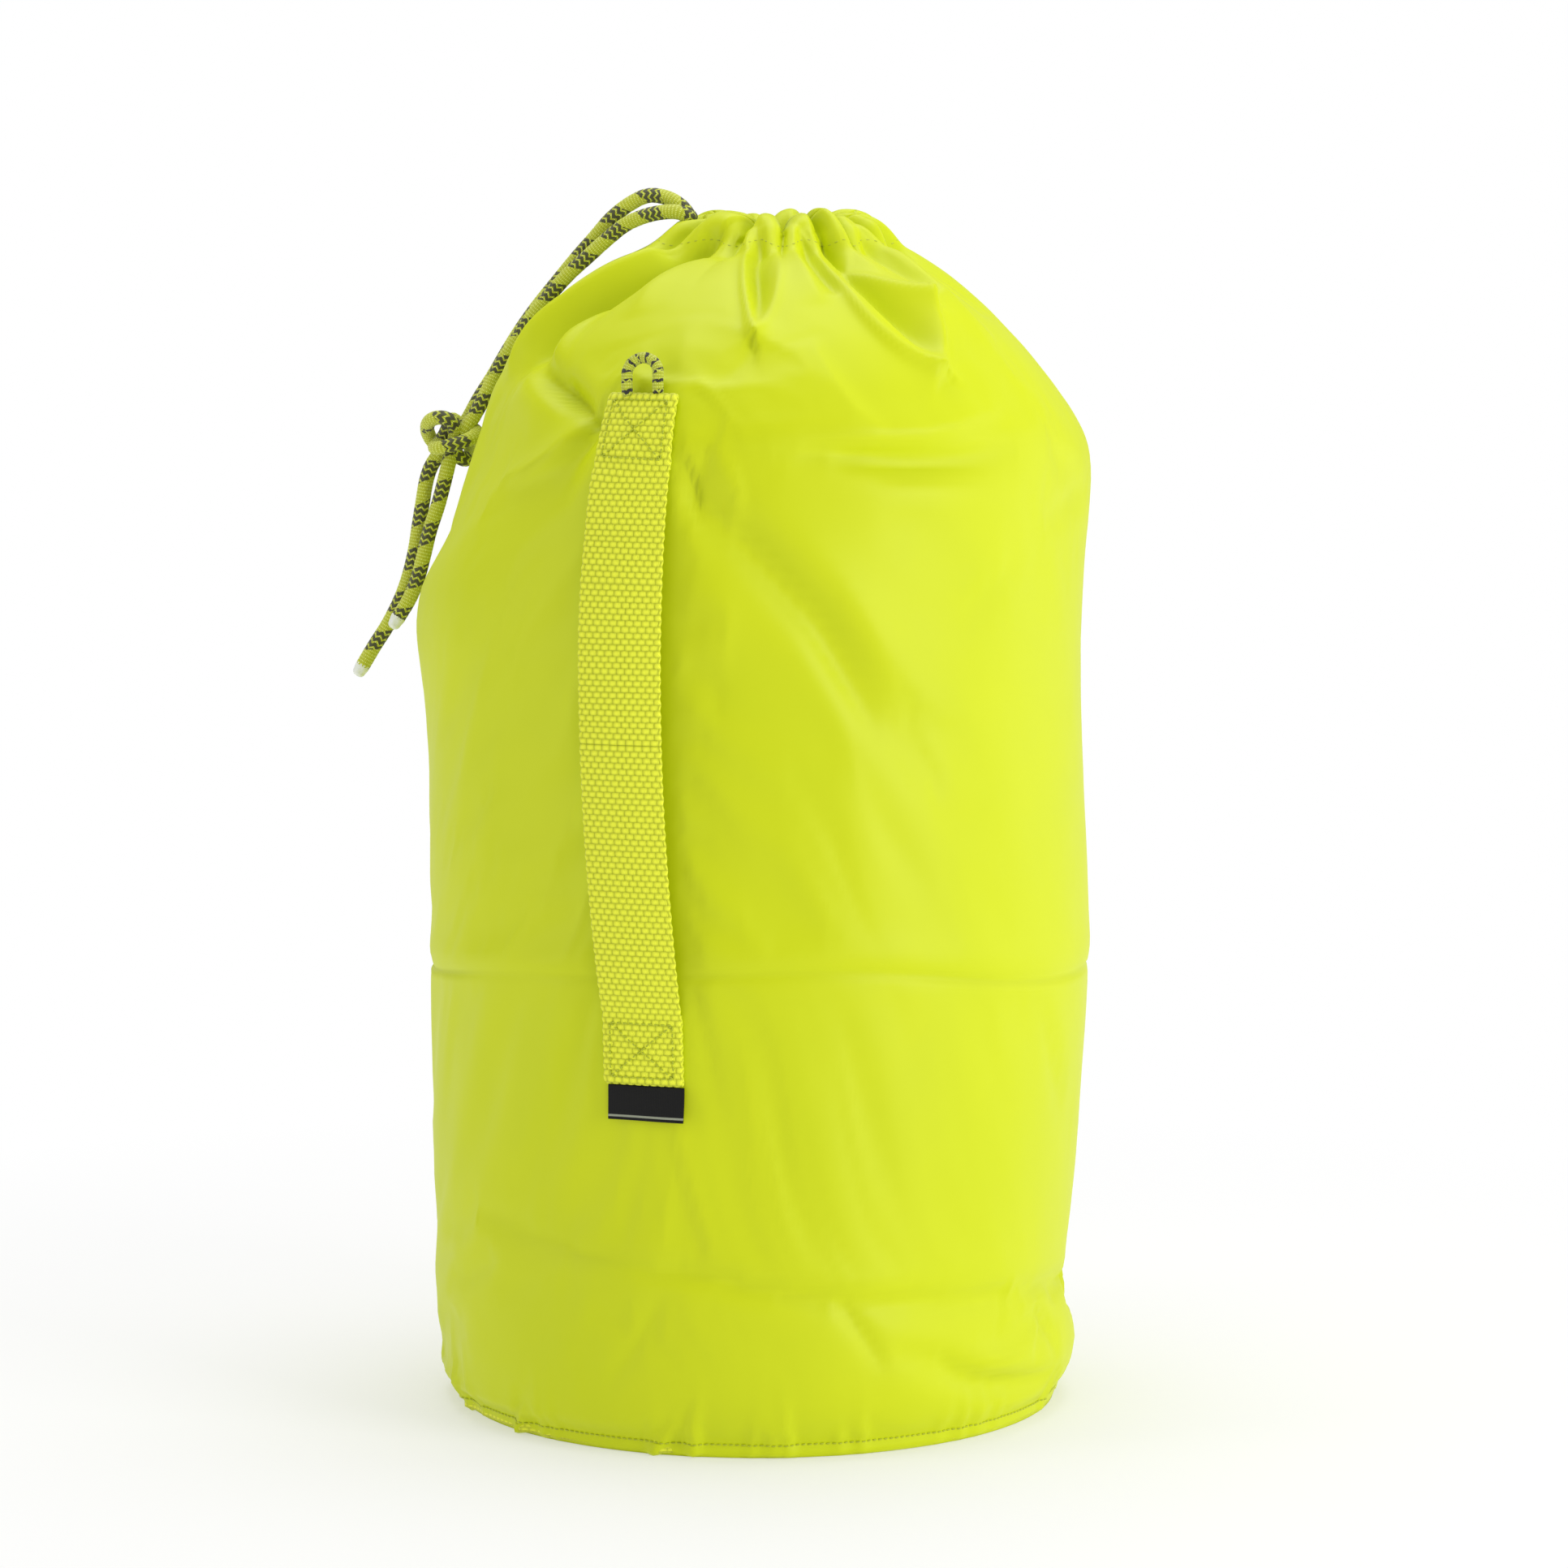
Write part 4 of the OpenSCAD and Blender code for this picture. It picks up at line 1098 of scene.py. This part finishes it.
def grain_group():
    """Plain weave and soft crumple of a coated cloth: Height for a bump, Variation 0 to 1 for
    colour and sheen."""
    tree, n, into, out = new_group(
        "cloth_grain", [("Pitch", "NodeSocketFloat", 0.0007), ("Crumple", "NodeSocketFloat", 1.0)],
        [("Height", "NodeSocketFloat"), ("Variation", "NodeSocketFloat")])
    uv = n.add("ShaderNodeUVMap", uv_map="weave").outputs[0]
    split = n.add("ShaderNodeSeparateXYZ", {0: uv})
    turns = [n.math("DIVIDE", n.math("MULTIPLY", split.outputs[k], 2 * math.pi),
                    into.outputs["Pitch"]) for k in (0, 1)]
    thread = n.math("MULTIPLY", n.math("SINE", turns[0]), n.math("SINE", turns[1]))
    place = n.add("ShaderNodeTexCoord").outputs["Object"]
    broad = n.add("ShaderNodeTexNoise", {"Vector": place, "Scale": 11.0, "Detail": 3.0,
                                         "Distortion": 0.6})
    small = n.add("ShaderNodeTexNoise", {"Vector": place, "Scale": 60.0, "Detail": 4.0,
                                         "Distortion": 0.9})
    crumple = n.math("MULTIPLY", n.math("ADD", broad.outputs[0], n.math(
        "MULTIPLY", small.outputs[0], 0.25)), into.outputs["Crumple"])
    height = n.math("ADD", n.math("MULTIPLY", thread, 0.012), crumple)
    n.put(out.inputs["Height"], height)
    n.put(out.inputs["Variation"], broad.outputs[0])
    return tree


def braid_group():
    """Colour mask and fine yarn relief of a braided cord, from its turns round and metres
    along: Tracer is 1 on the dark strands of the patches that carry them."""
    tree, n, into, out = new_group(
        "braid_pattern", [("Strands", "NodeSocketFloat", 16.0),
                          ("Pitch", "NodeSocketFloat", 0.0068),
                          ("Patch Length", "NodeSocketFloat", 0.022),
                          ("Patch Share", "NodeSocketFloat", 0.5)],
        [("Tracer", "NodeSocketFloat"), ("Fleck", "NodeSocketFloat"),
         ("Height", "NodeSocketFloat")])
    uv = n.add("ShaderNodeUVMap", uv_map="weave").outputs[0]
    split = n.add("ShaderNodeSeparateXYZ", {0: uv})
    u, v = split.outputs[0], split.outputs[1]
    half = n.math("MULTIPLY", n.math("MULTIPLY", u, into.outputs["Strands"]), 0.5)
    step = n.math("DIVIDE", v, into.outputs["Pitch"])
    a, b = n.math("ADD", half, step), n.math("SUBTRACT", half, step)
    zig = n.math("PINGPONG", half, 1.0)
    row = n.math("FRACT", n.math("ADD", step, n.math("MULTIPLY", zig, 0.5)))
    stripe = n.math("LESS_THAN", row, 0.66)
    slant = n.math("MULTIPLY", n.math("PINGPONG", n.math("MULTIPLY", u, 2.0), 1.0), 0.3)
    patch = n.math("LESS_THAN", n.math("FRACT", n.math("ADD", slant, n.math(
        "DIVIDE", v, into.outputs["Patch Length"]))), into.outputs["Patch Share"])
    tracer = n.math("MULTIPLY", stripe, patch)
    cell = n.math("SINE", n.math("MULTIPLY", a, 2 * math.pi))
    other = n.math("SINE", n.math("MULTIPLY", b, 2 * math.pi))
    fleck = n.math("GREATER_THAN", n.math("MULTIPLY", cell, other), 0.45)
    yarn = n.math("SINE", n.math("MULTIPLY", a, 8 * math.pi))
    yarn_b = n.math("SINE", n.math("MULTIPLY", b, 8 * math.pi))
    n.put(out.inputs["Tracer"], tracer)
    n.put(out.inputs["Fleck"], fleck)
    n.put(out.inputs["Height"], n.math("ADD", yarn, yarn_b))
    return tree


def yarn_group():
    """Fine yarns of a woven tape: Height of their twist, and the mask of the painted shade, 1
    between the floats.
    """
    tree, n, into, out = new_group(
        "webbing_yarn", [("Column", "NodeSocketFloat", WEAVE_COLUMN),
                         ("Row", "NodeSocketFloat", WEAVE_ROW)],
        [("Height", "NodeSocketFloat"), ("Hollow Shade", "NodeSocketFloat")])
    uv = n.add("ShaderNodeUVMap", uv_map="weave").outputs[0]
    split = n.add("ShaderNodeSeparateXYZ", {0: uv})
    v = n.math("DIVIDE", split.outputs[1], into.outputs["Row"])
    row = n.math("FLOOR", v)
    odd = n.math("MULTIPLY", n.math("FLOORED_MODULO", row, 2.0), 0.5)
    u = n.math("ADD", n.math("DIVIDE", split.outputs[0], into.outputs["Column"]), odd)
    across = n.math("SINE", n.math("MULTIPLY", n.math("FRACT", u), math.pi))
    along = n.math("SINE", n.math("MULTIPLY", n.math("FRACT", v), math.pi))
    proud = n.math("MULTIPLY", n.math("POWER", across, 0.5), n.math("POWER", along, 0.5))
    twist = n.math("SINE", n.math("MULTIPLY", n.math("ADD", n.math("MULTIPLY", u, 5.0),
                                                     n.math("MULTIPLY", v, 1.5)), 2 * math.pi))
    n.put(out.inputs["Height"], n.math("MULTIPLY", twist, 0.4))
    n.put(out.inputs["Hollow Shade"], n.math("SUBTRACT", 1.0, proud))
    return tree


def material(name, rough, coat=0.0, sheen=0.0):
    """A material and its node helper and shader."""
    mat = bpy.data.materials.new(name)
    mat.use_nodes = True
    n = Nodes(mat.node_tree)
    shader = mat.node_tree.nodes["Principled BSDF"]
    shader.inputs["Roughness"].default_value = rough
    shader.inputs["Coat Weight"].default_value = coat
    shader.inputs["Sheen Weight"].default_value = sheen
    return mat, n, shader


def use(n, tree, values=None):
    """A node that shows a group."""
    node = n.add("ShaderNodeGroup", node_tree=tree)
    for key, value in (values or {}).items():
        n.put(node.inputs[key], value)
    return node


def bump(n, shader, height, distance, strength=1.0):
    """Feeds a height into the shader's normal."""
    node = n.add("ShaderNodeBump", {"Height": height, "Distance": distance, "Strength": strength})
    n.put(shader.inputs["Normal"], node.outputs[0])


GRAIN, BRAID, YARN = grain_group(), braid_group(), yarn_group()


def coated_fabric():
    """Coated nylon: lime, satin, slightly uneven in colour and sheen, finely woven."""
    mat, n, shader = material("coated_fabric", 0.5, coat=0.02)
    shader.inputs["Specular IOR Level"].default_value = 0.28
    grain = use(n, GRAIN, {"Pitch": 0.0009, "Crumple": 0.5})
    n.put(shader.inputs["Base Color"], n.mix(grain.outputs["Variation"],
                                             (0.56, 0.645, 0.0008, 1), (0.62, 0.695, 0.002, 1)))
    n.put(shader.inputs["Roughness"], n.math("MULTIPLY_ADD", grain.outputs["Variation"], 0.14,
                                             0.42))
    shader.inputs["Coat Roughness"].default_value = 0.3
    bump(n, shader, grain.outputs["Height"], 0.0009, 0.5)
    return mat


def webbing():
    """Woven nylon webbing, pale in the floats, with painted shade in the hollows between them."""
    mat, n, shader = material("webbing", 0.62, sheen=0.1)
    yarn = use(n, YARN)
    # the darker second colour, mixed in by the hollow mask, is painted shade between the floats
    n.put(shader.inputs["Base Color"], n.mix(yarn.outputs["Hollow Shade"], (0.91, 0.96, 0.03, 1),
                                             (0.50, 0.55, 0.003, 1)))
    bump(n, shader, yarn.outputs["Height"], 0.0003, 0.6)
    return mat


def braided(name, base, dark, bright, strands, pitch, patch, share):
    """A braided cord with dark tracer patches flecked with bright yarn."""
    mat, n, shader = material(name, 0.55, sheen=0.2)
    pattern = use(n, BRAID, {"Strands": strands, "Pitch": pitch, "Patch Length": patch,
                             "Patch Share": share})
    flecked = n.mix(pattern.outputs["Fleck"], base, bright)
    n.put(shader.inputs["Base Color"], n.mix(pattern.outputs["Tracer"], flecked, dark))
    bump(n, shader, pattern.outputs["Height"], 0.00012, 0.6)
    return mat


def thread():
    """Sewing thread, finely twisted, of the cloth's lime hue made darker: the darkness is painted
    shade of the sunk stitch lines.
    """
    mat, n, shader = material("thread", 0.5, sheen=0.05)
    place = n.add("ShaderNodeTexCoord").outputs["Object"]
    wave = n.add("ShaderNodeTexNoise", {"Vector": place, "Scale": 2500.0, "Detail": 1.0})
    # both thread colours are darker than the cloth: the thread's own hue plus painted shade of the
    # stitches
    n.put(shader.inputs["Base Color"], n.mix(wave.outputs[0], (0.36, 0.42, 0.004, 1),
                                             (0.52, 0.58, 0.02, 1)))
    bump(n, shader, wave.outputs[0], 0.0002, 0.6)
    return mat


def label_material():
    """Black woven label with fine ribs and a thin pale border along its lower edge."""
    mat, n, shader = material("label_cloth", 0.6)
    shader.inputs["Specular IOR Level"].default_value = 0.2
    uv = n.add("ShaderNodeUVMap", uv_map="weave").outputs[0]
    split = n.add("ShaderNodeSeparateXYZ", {0: uv})
    border = n.math("MULTIPLY", n.math("GREATER_THAN", split.outputs[1], 0.0138),
                    n.math("LESS_THAN", split.outputs[1], 0.0148))
    rib = n.math("SINE", n.math("MULTIPLY", split.outputs[1], 2 * math.pi / 0.0005))
    cross = n.math("SINE", n.math("MULTIPLY", split.outputs[0], 2 * math.pi / 0.0006))
    n.put(shader.inputs["Base Color"], n.mix(border, (0.006, 0.006, 0.006, 1),
                                             (0.30, 0.32, 0.24, 1)))
    bump(n, shader, n.math("ADD", rib, cross), 0.00008, 0.5)
    return mat


def melted():
    """Melted cord end, milky, slightly translucent."""
    mat, n, shader = material("melted_tip", 0.35)
    shader.inputs["Subsurface Weight"].default_value = 0.3
    shader.inputs["Subsurface Radius"].default_value = (0.002, 0.002, 0.0015)
    place = n.add("ShaderNodeTexCoord").outputs["Object"]
    noise = n.add("ShaderNodeTexNoise", {"Vector": place, "Scale": 500.0, "Detail": 2.0})
    n.put(shader.inputs["Base Color"], n.mix(noise.outputs[0], (0.72, 0.76, 0.62, 1),
                                             (0.88, 0.90, 0.84, 1)))
    bump(n, shader, noise.outputs[0], 0.0006, 0.5)
    return mat


FABRIC, WEBBING, THREAD, LABEL, MELTED = (coated_fabric(), webbing(), thread(), label_material(),
                                          melted())
CORD = braided("drawcord", (0.58, 0.63, 0.008, 1), (0.07, 0.074, 0.02, 1), (0.86, 0.95, 0.2, 1),
               24.0, 0.0032, 0.022, 0.5)
ELASTIC = braided("elastic_cord", (0.52, 0.58, 0.01, 1), (0.012, 0.012, 0.01, 1),
                  (0.80, 0.88, 0.16, 1), 18.0, 0.0026, 0.0043, 0.36)


def paint(obj, mat):
    """Gives an object its material."""
    obj.data.materials.clear()
    obj.data.materials.append(mat)


for obj in (side_obj, lining_obj, base_obj, seam, patch_upper, patch_lower):
    paint(obj, FABRIC)
for obj in (webbing_upper, webbing_lower, tape):
    paint(obj, WEBBING)
for obj in (outer_cord, inner_cord, long_tail, short_tail, knot, hem_cord):
    paint(obj, CORD)
paint(elastic, ELASTIC)
for obj in (base_thread, hem_thread, seam_thread, box_upper, box_lower):
    paint(obj, THREAD)
paint(label_cloth, LABEL)
for obj in (tip_long, tip_short):
    paint(obj, MELTED)


# ---------------------------------------------------------------- camera, light, floor
def look_at(obj, target):
    """Turns a camera or light so that it looks at the target."""
    way = np.asarray(target, float) - np.array(obj.location)
    obj.rotation_euler = Vector(way).to_track_quat("-Z", "Y").to_euler()


def camera():
    """A long lens level with the mouth, straight in front in the shoulder's frame, so that the
    handle shows a little to the left."""
    data = bpy.data.cameras.new("camera")
    data.lens = 116.27
    data.sensor_width = 36
    data.clip_start = 0.1
    cam = bpy.data.objects.new("camera", data)
    bpy.context.scene.collection.objects.link(cam)
    cam.location = turned((0, -2.45, 0.57))
    look_at(cam, turned((0.01257, 0, 0.2995)))
    bpy.context.scene.camera = cam


def softbox(name, place, target, size, power):
    """A large rectangular area light."""
    data = bpy.data.lights.new(name, "AREA")
    data.shape = "RECTANGLE"
    data.size, data.size_y = size
    data.energy = power
    lamp = bpy.data.objects.new(name, data)
    bpy.context.scene.collection.objects.link(lamp)
    lamp.location = turned(place)
    look_at(lamp, turned(target))


def studio():
    """White world, a pale floor that glows as painted light, and four softboxes."""
    world = bpy.data.worlds.new("studio")
    bpy.context.scene.world = world
    world.use_nodes = True
    nodes, links = world.node_tree.nodes, world.node_tree.links
    seen = nodes.new("ShaderNodeLightPath")
    strength = nodes.new("ShaderNodeMapRange")
    links.new(seen.outputs["Is Camera Ray"], strength.inputs["Value"])
    strength.inputs["To Min"].default_value = 0.50
    strength.inputs["To Max"].default_value = 1.0
    nodes["Background"].inputs["Color"].default_value = (1, 1, 1, 1)
    links.new(strength.outputs[0], nodes["Background"].inputs["Strength"])
    softbox("softbox_high_side", (1.6, -1.25, 0.65), (0, 0, 0.3), (0.9, 1.5), 22)
    softbox("softbox_edge", (1.9, 0.35, 0.6), (0, 0, 0.3), (1.2, 1.5), 6)
    softbox("softbox_low_side", (-1.8, -0.6, 0.7), (0, 0, 0.3), (0.6, 1.5), 6)
    softbox("softbox_top", (0.0, 0.3, 2.2), (0, 0, 0.2), (1.6, 1.6), 23)
    p = np.array([(-6, -6, 0), (6, -6, 0), (6, 6, 0), (-6, 6, 0)], float)
    floor = make_mesh("floor", p, np.array([[0, 1, 2, 3]]), smooth_shade=False)
    mat = bpy.data.materials.new("floor_paint")
    mat.use_nodes = True
    shader = mat.node_tree.nodes["Principled BSDF"]
    shader.inputs["Base Color"].default_value = (0.93, 0.93, 0.93, 1)
    shader.inputs["Roughness"].default_value = 0.9
    tree = mat.node_tree
    place = tree.nodes.new("ShaderNodeTexCoord")
    away = tree.nodes.new("ShaderNodeVectorMath")
    away.operation = "LENGTH"
    # painted light: the floor glows, 0.4 emission near the middle up to full emission 0.8 m out,
    # whitening the floor and lightening the bag's shadow on it
    fade = tree.nodes.new("ShaderNodeMapRange")
    fade.inputs["From Min"].default_value, fade.inputs["From Max"].default_value = 0.16, 0.8
    fade.inputs["To Min"].default_value = 0.4
    glow = tree.nodes.new("ShaderNodeEmission")
    both = tree.nodes.new("ShaderNodeMixShader")
    tree.links.new(place.outputs["Object"], away.inputs[0])
    tree.links.new(away.outputs["Value"], fade.inputs["Value"])
    tree.links.new(fade.outputs[0], both.inputs[0])
    tree.links.new(shader.outputs[0], both.inputs[1])
    tree.links.new(glow.outputs[0], both.inputs[2])
    tree.links.new(both.outputs[0], tree.nodes["Material Output"].inputs["Surface"])
    floor.data.materials.append(mat)


camera()
studio()
bpy.context.scene.view_settings.view_transform = "Standard"
